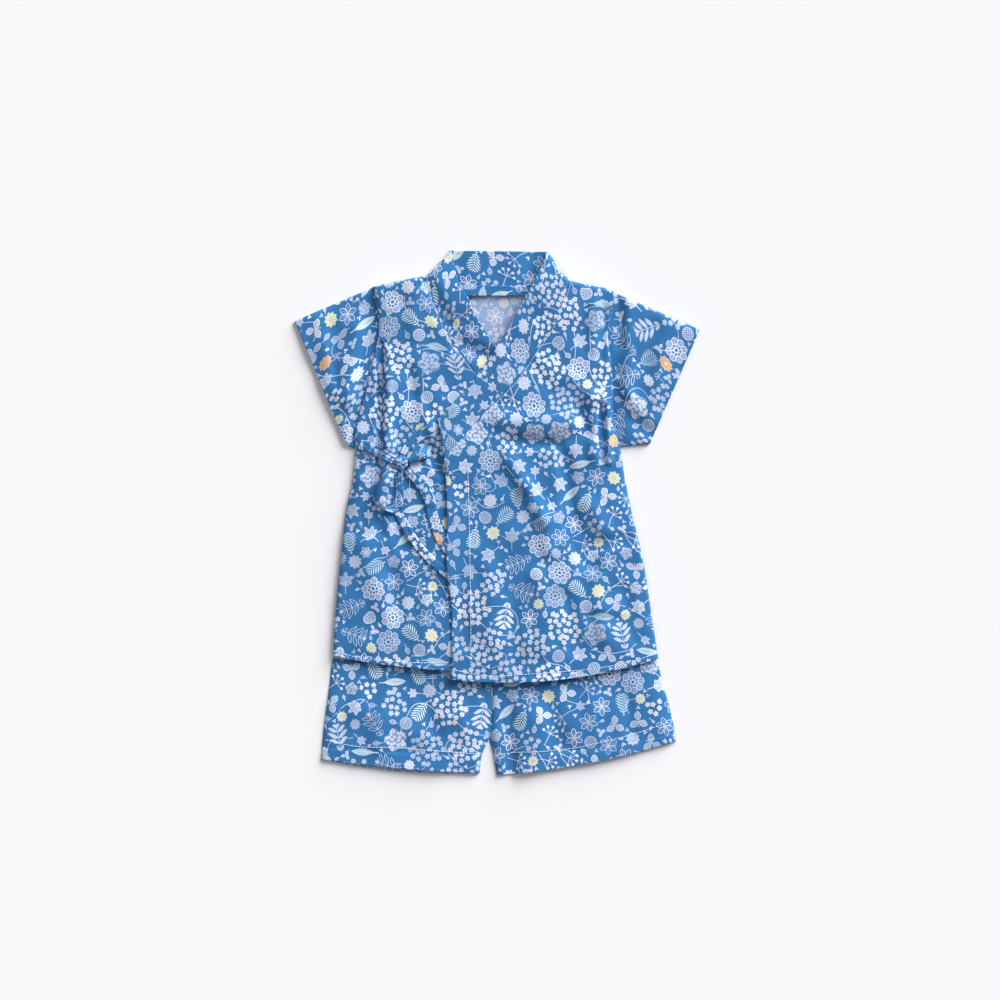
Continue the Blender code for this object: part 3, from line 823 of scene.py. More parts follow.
@dataclass
class BotanicalPrint:
    """Draws the motifs of the print in a node tree, each inside a circle of radius 1.

    Each drawing gives 1 where its ink lies and 0 elsewhere, or a share of it for a paler tone.
    Its plain numbers are shares of the motif's radius.

    Args:
        tree: the node tree.
        line: half of the width of a drawn line, in millimetres.
        floret: spacing of the small five-petalled flowers in a cluster.
    """

    tree: bpy.types.NodeTree
    line: float
    floret: float = 5.7

    def __post_init__(self) -> None:
        """Reads the place in the motif, its kind, the line's half width and its chance."""
        self.x, self.y = self.map_value("Pattern")
        self.kind, self.w = self.map_value("PatternKind")
        self.chance, self.turn = self.map_value("PatternChance")
        self.r = self.length(self.x, self.y)
        self.angle = self.y.math("ARCTAN2", self.x)

    def map_value(self, name: str) -> tuple[Signal, Signal]:
        """Returns both values of one of the maps that the pieces carry."""
        uv = add_node(self.tree, "ShaderNodeUVMap", {"uv_map": name})
        parts = add_node(self.tree, "ShaderNodeSeparateXYZ", inputs={0: uv.outputs[0]})
        return Signal(self.tree, parts.outputs[0]), Signal(self.tree, parts.outputs[1])

    def length(self, x: Signal, y: Signal) -> Signal:
        """Returns the distance from the middle."""
        return (x * x + y * y).math("SQRT")

    def folded(self, count: int, start: float) -> tuple[Signal, Signal, Signal]:
        """Folds the plane into equal sectors.

        Args:
            count: number of sectors.
            start: angle of the first one's middle.

        Returns:
            The place along and across a sector, and the angle that the sector was turned by.
        """
        step = 2.0 * math.pi / count
        turned = self.angle - start
        index = (turned / step).math("ROUND")
        inside = turned - index * step
        return self.r * inside.math("COSINE"), self.r * inside.math("SINE"), index * step

    def lens(self, along: Signal, across: Signal, near: float, far: float, half: float) -> Signal:
        """Returns how deep a place lies in a pointed leaf; it is above 0 inside."""
        share = (along - (near + far) / 2.0) / ((far - near) / 2.0)
        return (1.0 - share * share) * half - abs(across)

    def band(self, depth: Signal) -> Signal:
        """Returns 1 on the outline of a shape, from its depth."""
        return (depth > 0.0) & (depth < self.w * 2.0)

    def thin(self, value: Signal, share: float = 1.0) -> Signal:
        """Returns 1 on a line where the value crosses 0."""
        return abs(value) < self.w * share

    def voronoi(self, scale: Signal | float, randomness: float) -> tuple[Signal, ...]:
        """Scatters cells over the motif.

        Args:
            scale: number of cells in its radius.
            randomness: how unevenly they lie, up to 1.

        Returns:
            Offset from the cell's middle, distance, chance and how far out the cell lies.
        """
        add = partial(add_node, self.tree)
        point = add("ShaderNodeCombineXYZ", inputs={0: self.x, 1: self.y}).outputs[0]
        scaled = add("ShaderNodeVectorMath", {"operation": "SCALE"}, {0: point, "Scale": scale})
        place = scaled.outputs[0]
        inputs = {"Vector": place, "Scale": 1.0, "Randomness": randomness}
        cells = add("ShaderNodeTexVoronoi", {"voronoi_dimensions": "2D"}, inputs).outputs
        middle = cells["Position"]
        offset = add("ShaderNodeVectorMath", {"operation": "SUBTRACT"}, {0: place, 1: middle})
        x, y, _ = add("ShaderNodeSeparateXYZ", inputs={0: offset.outputs[0]}).outputs
        home = add("ShaderNodeVectorMath", {"operation": "LENGTH"}, {0: middle}).outputs["Value"]
        chance = add("ShaderNodeSeparateColor", inputs={0: cells["Color"]}).outputs[0]
        sockets = (x, y, cells["Distance"], chance, home)
        return tuple(Signal(self.tree, socket) for socket in sockets)

    def cluster(self) -> tuple[Signal, Signal]:
        """Draws small five-petalled flowers side by side, and returns them and their hearts."""
        size = self.line / self.w
        x, y, distance, chance, home = self.voronoi(size / self.floret, 0.5)
        petals = (y.math("ARCTAN2", x) * 5.0 + chance * 6.0).math("COSINE") * 0.06 + 0.385
        whole = home * self.floret < size - 1.0
        coloured = (chance > 0.2) & (self.chance > 0.35)
        return (distance < petals) & whole, (distance < 0.13) & whole & coloured

    def maple(self) -> Signal:
        """Draws a seven-lobed leaf with veins and a stem."""
        along, across, turn = self.folded(7, math.pi / 2.0)
        reach = turn.math("COSINE") * 0.27 + 0.71
        share = along / reach * 2.0 - 0.86
        lobe = (1.0 - share * share) * 0.2 - abs(across)
        body = (lobe > 0.0) | (self.r < 0.3)
        rim = self.band(lobe) & (self.r > 0.3)
        veins = self.thin(across, 0.5) & body
        stem = self.thin(self.x, 0.8) & (self.y < -0.1)
        return rim | veins | body * FILL | stem

    def bloom(self) -> Signal:
        """Draws a wide scalloped flower in outline, with an inner ring and a blue heart."""
        along, across, _ = self.folded(8, 0.2)
        outer = self.length(along - 0.68, across)
        petals = self.band(0.29 - outer)
        hatch = self.thin(across, 0.6) & (along > 0.42) & (along < 0.86)
        inner_along, inner_across, _ = self.folded(8, 0.2 + math.pi / 8.0)
        inner = self.length(inner_along - 0.34, inner_across)
        ring = self.band(0.17 - inner) | self.thin(self.r - 0.16, 0.9)
        ticks = self.thin(inner_across, 0.5) & (inner_along > 0.5) & (inner_along < 0.62)
        return petals | hatch | ring | ticks | ((outer < 0.29) * (FILL * 0.7))

    def six_petals(self) -> Signal:
        """Draws a flower of six narrow outlined petals."""
        along, across, _ = self.folded(6, 0.5)
        petals = self.band(self.lens(along, across, 0.1, 0.98, 0.27))
        ribs = self.thin(across, 0.45) & (along > 0.3) & (along < 0.66)
        return petals | ribs | (self.r < 0.13)

    def three_leaves(self) -> Signal:
        """Draws three filled leaves with veins on one stem."""
        along, across, _ = self.folded(3, math.pi / 2.0)
        depth = self.lens(along, across, 0.04, 0.98, 0.33)
        side = ((along - abs(across) * 0.9) / 0.22).math("FRACT") < 0.22
        veins = (self.thin(across, 0.5) | side) & (depth > 0.0)
        stem = self.thin(self.x, 0.8) & (self.y < 0.1) & (self.y > -0.6)
        return self.band(depth) | veins | ((depth > 0.0) * FILL) | stem

    def sprig(self, step: float, half: float, lean: float, width: Signal | float) -> Signal:
        """Sets paired leaves along an upright stem.

        Args:
            step: spacing of the pairs.
            half: half of a leaf's width.
            lean: how steeply the leaves rise.
            width: length of the longest leaves.

        Returns:
            How deep a place lies in a leaf; it is above 0 inside.
        """
        away = abs(self.x)
        level = self.y - away * lean
        row = (level / step).math("ROUND") * step
        reach = (1.0 - row * row) * width + 0.1
        share = away / reach * 2.0 - 1.0
        return (1.0 - share * share) * half - abs(level - row)

    def small_sprig(self) -> Signal:
        """Draws a sprig of small filled leaves."""
        leaves = self.sprig(0.25, 0.068, 0.7, 0.58) > 0.0
        stem = self.thin(self.x, 0.65)
        return (leaves | stem) & (self.r < 0.99)

    def branch(self) -> Signal:
        """Draws a branch of long leaves, some filled and some in outline."""
        depth = self.sprig(0.42, 0.155, 0.62, 0.66)
        leaves = (depth > 0.0) & ((depth < self.w * 1.7) | (self.chance > 0.5))
        tip = self.lens(self.y, self.x, 0.62, 1.0, 0.13) > 0.0
        stem = self.thin(self.x, 0.7) & (self.y < 0.7)
        return (leaves | stem | tip) & (self.r < 1.0)

    def ear(self) -> Signal:
        """Draws an upright ear of close grains on a stem."""
        grains = self.sprig(0.145, 0.048, 0.55, 0.2) > 0.0
        body = (grains | FILL) & (self.lens(self.y, self.x, -0.66, 0.98, 0.27) > 0.0)
        stem = self.thin(self.x, 0.9) & (self.y < 0.0) & (self.y > -1.0)
        return body | stem

    def seed_ball(self) -> Signal:
        """Draws a ball with a lattice of dots."""
        dots = (self.x * 10.5).math("SINE") * (self.y * 10.5).math("SINE")
        net = (abs(dots) < 0.42) & (self.r < 0.78)
        return net | self.thin(self.r - 0.84, 0.9)

    def leaf(self) -> Signal:
        """Draws a heart-shaped leaf in outline with veins."""
        depth = self.lens(self.y, self.x, -0.62, 0.98, 0.5)
        side = ((self.y - abs(self.x) * 0.7) / 0.34).math("FRACT") < 0.3
        veins = (self.thin(self.x, 0.7) | side) & (depth > 0.0)
        stem = self.thin(self.x, 0.8) & (self.y < -0.5)
        return self.band(depth) | veins | stem

    def daisy(self) -> tuple[Signal, Signal]:
        """Draws a small flower of nine petals, and returns it and the fill of its petals."""
        along, across, _ = self.folded(9, 0.3)
        depth = self.lens(along, across, 0.12, 0.98, 0.24)
        petals = (depth > 0.0) & (abs(across) > self.w * 0.3)
        return petals | (self.r < 0.2), depth > self.w * 0.8

    def mophead(self) -> Signal:
        """Draws a round head of close four-petalled florets."""
        x, y, distance, chance, _ = self.voronoi(3.1, 0.6)
        turned = y.math("ARCTAN2", x) * 2.0 + chance * 5.0
        petals = abs(turned.math("COSINE")) * 0.27 + 0.23
        florets = (distance < petals) & (distance > 0.085)
        rim = (self.angle * 5.0 + self.turn).math("COSINE") * 0.11 + 0.87
        return (florets | FILL * 0.5) & (self.r < rim)

    def umbel(self) -> Signal:
        """Draws thin stalks that fan out to round buds."""
        along, across, turn = self.folded(9, math.pi / 2.0)
        upper = turn.math("COSINE") > -0.4
        stalks = self.thin(across, 0.6) & (along < 0.72)
        buds = self.length(along - 0.81, across) < 0.155
        stem = self.thin(self.x, 0.7) & (self.y < 0.0)
        return ((stalks | buds) & upper) | stem

    def stems(self) -> Signal:
        """Draws long thin stems in the ground between the motifs."""
        level = self.flow((0.0, 0.0, 0.0))
        step = 0.0005
        rise = self.length(self.flow((step, 0.0, 0.0)) - level, self.flow((0.0, step, 0.0)) - level)
        contour = ((level - 0.5) / 0.16).math("FRACT") - 0.5
        return abs(contour) * 0.16 * step < rise * 0.00028

    def flow(self, shift: tuple[float, float, float]) -> Signal:
        """Reads a smooth value that wanders over the cloth.

        Args:
            shift: small step to the side at which it is read.

        Returns:
            The value, from 0 to 1.
        """
        add = partial(add_node, self.tree)
        cloth = add("ShaderNodeUVMap", {"uv_map": "Cloth"}).outputs[0]
        moved = add("ShaderNodeVectorMath", {"operation": "ADD"}, {0: cloth, 1: shift}).outputs[0]
        inputs = {"Vector": moved, "Scale": 13.0, "Detail": 1.0}
        noise = add("ShaderNodeTexNoise", {"noise_dimensions": "2D"}, inputs)
        return Signal(self.tree, noise.outputs[0])

    def ink(self) -> tuple[Signal, Signal, Signal]:
        """Draws every motif where its kind lies.

        Returns:
            The printed ink, the coloured hearts in the clusters, and the petals of the daisies.
        """
        florets, hearts = self.cluster()
        daisies, petals = self.daisy()
        shapes = {
            Motif.CLUSTER: florets,
            Motif.MAPLE: self.maple(),
            Motif.BLOOM: self.bloom(),
            Motif.SIX_PETALS: self.six_petals(),
            Motif.THREE_LEAVES: self.three_leaves(),
            Motif.SPRIG: self.small_sprig(),
            Motif.BRANCH: self.branch(),
            Motif.EAR: self.ear(),
            Motif.SEED_BALL: self.seed_ball(),
            Motif.LEAF: self.leaf(),
            Motif.DAISY: daisies,
            Motif.MOPHEAD: self.mophead(),
            Motif.UMBEL: self.umbel(),
        }
        total = self.stems() & ((self.chance * 3.7).math("FRACT") < 0.6)
        for motif, shape in shapes.items():
            total = total | (shape * self.is_kind(motif))
        return total, hearts * self.is_kind(Motif.CLUSTER), petals * self.is_kind(Motif.DAISY)

    def is_kind(self, motif: Motif) -> Signal:
        """Returns 1 where this motif lies."""
        return self.kind.math("COMPARE", float(motif.value), 0.5)


@dataclass(frozen=True)
class PrintedCotton:
    """Plain-woven cotton sheeting with a pigment print, washed and soft.

    Its short fibres scatter light, so it is matt, with a faint pale bloom at a glancing angle.
    Pigment ink lies in the yarns and shines no more than they do. The reverse of such cloth is
    much paler, and the print shows through it faintly.

    Args:
        name: name of the material.
        ground: colour of the ground.
        ink: colour of most motifs.
        cool_ink: colour of the ears and sprigs.
        heart: colour of the hearts of the smallest flowers.
        warm: colour of some daisies.
        yellow: colour of the other daisies, and of some hearts.
        roughness: how matt it is.
        sheen: strength of the bloom.
        grain: width of the mottle in the yarns; a yarn, at 0.2 mm, is too fine to show.
    """

    name: str
    ground: str
    ink: str
    cool_ink: str
    heart: str
    warm: str
    yellow: str
    roughness: float = 0.88
    sheen: float = 0.12
    grain: float = 0.9

    def build(self, line: float) -> bpy.types.Material:
        """Makes the material.

        Args:
            line: half of the width of a drawn line.

        Returns:
            The material, which reads the maps that each piece carries.
        """
        values = {
            "Roughness": self.roughness,
            "Sheen Weight": self.sheen,
            "Sheen Roughness": 0.5,
            "Specular IOR Level": 0.25,
        }
        material = new_material(self.name, values)
        tree = material.node_tree
        add = partial(add_node, tree)
        drawn = BotanicalPrint(tree, line)
        ink, hearts, petals = drawn.ink()
        cloth = add("ShaderNodeUVMap", {"uv_map": "Cloth"}).outputs[0]
        inputs = {"Vector": cloth, "Scale": 1.0 / (self.grain * MM), "Detail": 2.0}
        grain = add("ShaderNodeTexNoise", {"noise_dimensions": "2D"}, inputs).outputs[0]
        # Yarn thickness varies along each yarn, so the dyed ground is a little mottled
        inputs = {0: linear(self.ground)[:3], "Scale": Signal(tree, grain) * 0.5 + 0.75}
        ground = add("ShaderNodeVectorMath", {"operation": "SCALE"}, inputs).outputs[0]
        ink_colour, cool, heart, warm, yellow = (
            linear(code) for code in (self.ink, self.cool_ink, self.heart, self.warm, self.yellow)
        )
        coloured = petals & (drawn.chance < 0.62)
        strength = ((drawn.chance * 7.31).math("FRACT") * 0.42 + 0.6) | coloured
        # Each row lays one colour over another where its share is 1
        mixed: dict[str, object] = {"ink": ink_colour, "ground": ground}
        for name, share, under, over in (
            ("ink", drawn.is_kind(Motif.EAR) | drawn.is_kind(Motif.SPRIG), "ink", cool),
            ("flower", drawn.chance > 0.3, warm, yellow),
            ("ink", coloured, "ink", "flower"),
            ("heart", drawn.chance > 0.78, heart, yellow),
            ("ink", hearts, "ink", "heart"),
            ("cloth", ink * strength, "ground", "ink"),
        ):
            under, over = (mixed[part] if isinstance(part, str) else part for part in (under, over))
            settings = {"data_type": "RGBA", "blend_type": "MIX"}
            node = add("ShaderNodeMix", settings, {0: share, 6: under, 7: over})
            mixed[name] = node.outputs[2]
        shader = tree.nodes["Principled BSDF"]
        tree.links.new(mixed["cloth"], shader.inputs["Base Color"])
        bump = add("ShaderNodeBump", inputs={"Strength": 0.16, "Distance": 0.0003, "Height": grain})
        tree.links.new(bump.outputs[0], shader.inputs["Normal"])
        return material


@dataclass(frozen=True)
class SewingThread:
    """Spun sewing thread: tight, matt, with a faint bloom from its loose fibres."""

    name: str = "spun_sewing_thread"
    colour: str = "#DDE3F4"

    def build(self) -> bpy.types.Material:
        """Returns the new material."""
        values = {"Base Color": linear(self.colour), "Roughness": 0.75, "Sheen Weight": 0.1}
        return new_material(self.name, values)


@dataclass
class Wardrobe:
    """What every piece is dressed with: the print's repeat and the three materials."""

    repeat: PrintRepeat
    face: bpy.types.Material
    reverse: bpy.types.Material
    thread: bpy.types.Material
    pieces: list[bpy.types.Object] = field(default_factory=list)


def closed_ring(grid: np.ndarray) -> np.ndarray:
    """Returns a grid with its first column once more at its end."""
    return np.concatenate((grid, grid[:, :1]), 1)


def corners_of(grid: np.ndarray) -> np.ndarray:
    """Returns the four corners of every face of a grid, one row for each face."""
    corners = (grid[:-1, :-1], grid[1:, :-1], grid[1:, 1:], grid[:-1, 1:])
    return np.stack(corners, 2).reshape(-1, 4, *grid.shape[2:])


@dataclass
class SewnCloth:
    """One piece of sewn cloth: a closed shell with its places on the uncut cloth.

    Args:
        node: the CAD node that it stands for.
        outer: grid of points of its printed face.
        inner: grid of points of its reverse.
        places: places on the uncut cloth; a closed shell has one more column of them.
        closed: whether the last column meets the first.
        double: whether the cloth is folded double, so that both its sides are printed.
        slot: name of a material slot; not used.
        rests_on: names of what it lies on; not used.
    """

    node: str
    outer: np.ndarray
    inner: np.ndarray
    places: np.ndarray
    closed: bool = False
    double: bool = False
    slot: str = PRINTED_SLOT
    rests_on: Sequence[str] = ()

    def build(self, wardrobe: Wardrobe) -> bpy.types.Object:
        """Args:
            wardrobe: the print's repeat, the materials and the list of pieces that it joins.

        Returns:
            The new object.
        """
        points = np.concatenate((self.outer.reshape(-1, 3), self.inner.reshape(-1, 3))) * MM
        quads, places, sides = self.faces()
        mesh = bpy.data.meshes.new(self.node + "_cloth")
        mesh.from_pydata(points.tolist(), [], quads.tolist())
        maps = {**wardrobe.repeat.lay(places), "Cloth": places * MM}
        for title, values in maps.items():
            layer = mesh.uv_layers.new(name=title)
            layer.data.foreach_set("uv", values.astype(np.float32).ravel())
        mesh.polygons.foreach_set("material_index", sides)
        mesh.materials.append(wardrobe.face)
        mesh.materials.append(wardrobe.reverse)
        shape = bmesh.new()
        shape.from_mesh(mesh)
        bmesh.ops.recalc_face_normals(shape, faces=shape.faces)
        shape.to_mesh(mesh)
        shape.free()
        mesh.shade_smooth()
        piece = new_object(mesh.name, mesh)
        self.declare(piece)
        wardrobe.pieces.append(piece)
        return piece

    def faces(self) -> tuple[np.ndarray, np.ndarray, np.ndarray]:
        """Joins both faces and the rims between them.

        Returns:
            The faces' points, their places on the cloth and the side of the cloth that each shows.
        """
        front = np.arange(self.outer[..., 0].size).reshape(self.outer.shape[:2])
        back = front + front.size
        if self.closed:
            front, back = closed_ring(front), closed_ring(back)
        sheets = [(front, self.places, 0), (back, self.places, 0 if self.double else 1)]
        across = [] if self.closed else [(slice(None), 0), (slice(None), -1)]
        for end in [0, -1, *across]:
            line = self.places[end]
            sheets.append((np.stack((front[end], back[end])), np.stack((line, line)), 0))
        quads = [corners_of(numbers) for numbers, _, _ in sheets]
        places = [corners_of(place) for _, place, _ in sheets]
        sides = [np.full(len(part), side) for part, (_, _, side) in zip(quads, sheets)]
        return np.concatenate(quads), np.concatenate(places), np.concatenate(sides)

    def area(self) -> float:
        """Returns the area of the printed face, in square metres."""
        grid = closed_ring(self.outer) if self.closed else self.outer
        first = grid[1:, 1:] - grid[:-1, :-1]
        second = grid[1:, :-1] - grid[:-1, 1:]
        return float(np.linalg.norm(np.cross(first, second), axis=-1).sum() / 2.0) * MM * MM

    def declare(self, piece: bpy.types.Object) -> None:
        """Args:
            piece: the object.
        """
        area = self.area()
        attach(piece, BODY)
        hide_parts(self.node)


@dataclass
class Panel:
    """A flat cut panel: a loft of rows, whose upper face lies at top(x, y).

    Args:
        node: the CAD node that it stands for.
        rows: its rows, from the neck or waist to the hem.
        top: height of its upper face.
        edges: how its left, right, first and last edges end.
        wall: its thickness.
        spacing: spacing of its points.
        hem: width of the turned hem along its last edge.
        along: whether the cloth's length runs along the rows' run, as in a band.
        offset: where the panel was cut from the cloth.
        flipped: whether its printed side lies below.
        rests_on: names of what it lies on.
        slot: the record's material slot.
        roll: width over which a rolled edge comes down.
        floor: height of what a rolled edge comes down to.
        seam: width and depth of the dip beside a seam.
        turned_wall: thickness that is left where a rolled edge ends.
    """

    node: str
    rows: Sequence[Row]
    top: Height
    edges: tuple[EdgeKind, EdgeKind, EdgeKind, EdgeKind]
    wall: float = CLOTH
    spacing: float = FINE
    hem: float = 0.0
    along: bool = False
    offset: tuple[float, float] = (0.0, 0.0)
    flipped: bool = False
    rests_on: tuple[str, ...] = ()
    slot: str = PRINTED_SLOT
    roll: float = 4.0
    floor: Height = back_top
    seam: tuple[float, float] = (1.5, 0.35)
    turned_wall: float = 0.15

    def spread(self) -> tuple[np.ndarray, ...]:
        """Spreads the points over the panel.

        Returns:
            x, y, distance from the left edge, distance from the first row, and the widths.
        """
        table = np.array(self.rows, float)
        left, right = table[:, 0:2], table[:, 2:4]
        steps = [np.hypot(*np.diff(side, axis=0).T) for side in (left, right)]
        run = np.concatenate(([0.0], np.cumsum(np.maximum(*steps))))
        down = spaced(run[-1], self.spacing, hem_lines(run[-1], self.hem) if self.hem else ())
        table = hermite(run, table, down)
        left_x, left_y, right_x, right_y, sag = (table[:, [column]] for column in range(5))
        widths = np.hypot(right_x - left_x, right_y - left_y)
        mean = float(widths.mean())
        share = (spaced(mean, self.spacing) / mean)[None, :]
        x = left_x + (right_x - left_x) * share
        y = left_y + (right_y - left_y) * share - 4.0 * share * (1.0 - share) * sag
        return x, y, share * widths, down[:, None] * np.ones_like(x), widths

    def cut(self) -> SewnCloth:
        """Cuts the panel.

        Returns:
            Its cloth.
        """
        x, y, from_left, down, widths = self.spread()
        total = down[-1, 0]
        away = (from_left, widths - from_left, down, total - down)
        upper = self.top(x, y)
        if self.hem:
            upper = upper + self.sewn_fold(total - down, self.hem, from_left)
        upper, lower = self.end_edges(x, y, upper, away)
        if self.along:
            places = np.stack((from_left + self.offset[0], self.offset[1] - down), -1)
        else:
            cloth_x = x + self.taken_up(x, upper, 1) + self.offset[0]
            cloth_y = y - self.taken_up(y, upper, 0) + self.offset[1]
            places = np.stack((cloth_x, cloth_y), -1)
        faces = (np.stack((x, y, upper), -1), np.stack((x, y, lower), -1))
        outer, inner = faces[::-1] if self.flipped else faces
        return SewnCloth(
            self.node, outer, inner, places,
            double=self.along, slot=self.slot, rests_on=self.rests_on,
        )

    def end_edges(
        self, x: np.ndarray, y: np.ndarray, upper: np.ndarray, away: Sequence[np.ndarray]
    ) -> tuple[np.ndarray, np.ndarray]:
        """Ends each edge as its kind says.

        Args:
            x: places across.
            y: places along.
            upper: height of the upper face.
            away: distance of each point from each edge.

        Returns:
            Heights of both faces.
        """
        lower = upper - self.wall
        for distance, kind in zip(away, self.edges):
            if kind is EdgeKind.ROLLED:
                rise = arc(distance, self.roll)
                base = self.floor(x, y)
                upper = base + (upper - base) * rise
                lower = upper - self.turned_wall - (self.wall - self.turned_wall) * rise
            elif kind is EdgeKind.FREE:
                turn = (self.wall / 2.0 - 0.02) * (1.0 - arc(distance, EDGE_TURN))
                upper = upper - turn
                lower = lower + turn
            elif kind is EdgeKind.SEAM:
                width, depth = self.seam
                upper = upper - depth * np.clip(1.0 - distance / width, 0.0, 1.0) ** 2
        lower = np.maximum(lower, 0.0)
        return np.maximum(upper, lower + 0.1), lower

    def sewn_fold(self, away: np.ndarray, depth: float, run: np.ndarray) -> np.ndarray:
        """Turns and stitches a fold, which adds thickness, a groove and puckers.

        Args:
            away: distance from the edge.
            depth: width of the fold.
            run: distance along the stitches.

        Returns:
            The height that it adds.
        """
        thick = HEM_STEP * ease(depth + HEM_BLUR, depth - HEM_BLUR, away)
        groove = -0.22 * np.exp(-(((away - depth) / HEM_BLUR) ** 2))
        wave = np.sin(run * 0.78 + 2.0 * np.sin(run * 0.11)) + 0.6 * np.sin(run * 1.31 + 1.0)
        pucker = 0.11 * wave * np.exp(-(((away - depth) / 4.5) ** 2))
        return thick + groove + pucker

    def taken_up(self, line: np.ndarray, z: np.ndarray, axis: int) -> np.ndarray:
        """Measures how much more cloth lies along a line than its length in plan.

        Args:
            line: places along the line, in plan.
            z: heights.
            axis: axis that the line runs along.

        Returns:
            The extra length from the middle of each line.
        """
        steps = np.diff(line, axis=axis)
        extra = np.hypot(steps, np.diff(z, axis=axis)) - np.abs(steps)
        start = np.zeros_like(np.take(line, [0], axis))
        total = np.concatenate((start, np.cumsum(extra, axis=axis)), axis)
        return total - np.take(total, [line.shape[axis] // 2], axis)


@dataclass
class Sleeve:
    """A short set-in sleeve: a flat tube from the armhole's curve to the open cuff.

    Args:
        node: the CAD node that it stands for.
        column: column of the side that it joins, 1 for left and 2 for right.
        armhole_y: y of the shoulder and of the underarm.
        cuff: the cuff's ends at the shoulder fold and at the underarm.
        offset: where the sleeve was cut from the cloth.
        rise: shares of the sleeve's length between which its middle rises.
        hem: width of the turned hem at the cuff.
        armhole_x: mean distance of the armhole from the middle of the top.
        edge: width over which the folded edges round off.
        lowest: how far a crease may press the tube in.
    """

    node: str
    column: int
    armhole_y: tuple[float, float]
    cuff: tuple[tuple[float, float], tuple[float, float]]
    offset: tuple[float, float]
    rise: tuple[float, float] = (0.14, 0.6)
    hem: float = 13.0
    armhole_x: float = 110.0
    edge: float = 2.4
    lowest: float = 0.9

    def __post_init__(self) -> None:
        """Works out the length of the cuff's edge and of the sleeve."""
        (top_x, top_y), (low_x, low_y) = self.cuff
        self.length = math.hypot(top_x - low_x, top_y - low_y)
        self.reach = 0.5 * (abs(top_x) + abs(low_x)) - self.armhole_x

    def cut(self) -> SewnCloth:
        """Cuts the sleeve, a ring of columns that starts at the shoulder fold.

        Returns:
            Its cloth.
        """
        across = spaced(self.length, FINE) / self.length
        down = spaced(self.reach, FINE, hem_lines(self.reach, self.hem)) / self.reach
        share, along = np.meshgrid(across, down)
        rings = []
        for inset in (0.0, CLOTH):
            front = self.face(share, along, True, inset)
            back = self.face(share, along, False, inset)[:, ::-1]
            rings.append(np.concatenate((front, back[:, 1:-1]), 1))
        round_run = np.concatenate((across, 2.0 - across[::-1][1:-1], [2.0])) * self.length
        x, y = self.armhole(across)
        (top_x, top_y), (low_x, low_y) = self.cuff
        cuff_x, cuff_y = top_x + (low_x - top_x) * across, top_y + (low_y - top_y) * across
        lengths = np.hypot(cuff_x - x, cuff_y - y)
        lengths = np.concatenate((lengths, lengths[::-1][1:-1], lengths[:1]))
        v = down[:, None] * lengths[None, :] + self.offset[1]
        places = np.stack((v, round_run[None, :] + self.offset[0] + 0.0 * v), -1)
        return SewnCloth(self.node, *rings, places, closed=True)

    def armhole(self, share: np.ndarray) -> tuple[np.ndarray, np.ndarray]:
        """Returns the x and y of the armhole's seam at shares of its length."""
        y = self.armhole_y[0] + (self.armhole_y[1] - self.armhole_y[0]) * share
        return side_x(y, self.column), y

    def face(
        self, share: np.ndarray, along: np.ndarray, front: bool, inset: float
    ) -> np.ndarray:
        """Returns the points of the front or the back of the tube.

        Args:
            share: place between the shoulder fold and the underarm fold.
            along: place between the armhole and the cuff.
            front: whether this is the upper face.
            inset: how far the points lie inside the cloth's outer face.

        Returns:
            A grid of points.
        """
        inner_share = (inset + share * (self.length - 2.0 * inset)) / self.length
        (top_x, top_y), (low_x, low_y) = self.cuff
        x, y = self.armhole(inner_share)
        x = x + (top_x + (low_x - top_x) * inner_share - x) * along
        y = y + (top_y + (low_y - top_y) * inner_share - y) * along
        round_edge = arc(np.minimum(share, 1.0 - share) * self.length, self.edge)
        middle = TUBE_HEIGHT / 2.0
        if not front:
            return np.stack((x, y, middle + (inset - middle) * round_edge), -1)
        from_cuff = (1.0 - along) * self.reach
        crown = SLEEVE_CROWN * ease(*self.rise, along) * np.sin(math.pi * share) ** 0.5
        crown = crown * (1.0 - 0.65 * ease(0.7, 1.0, along))
        soft = ease(0.0, 0.12, along) * (fold_height(SLEEVE_CREASES, x, y) + ripple_height(x, y))
        fold = HEM_STEP * ease(self.hem + HEM_BLUR, self.hem - HEM_BLUR, from_cuff)
        high = TUBE_HEIGHT + np.maximum(crown + soft + fold, -self.lowest) - inset
        high = high - (0.4 - inset) * (1.0 - arc(from_cuff, EDGE_TURN))
        return np.stack((x, y, middle + (high - middle) * round_edge), -1)


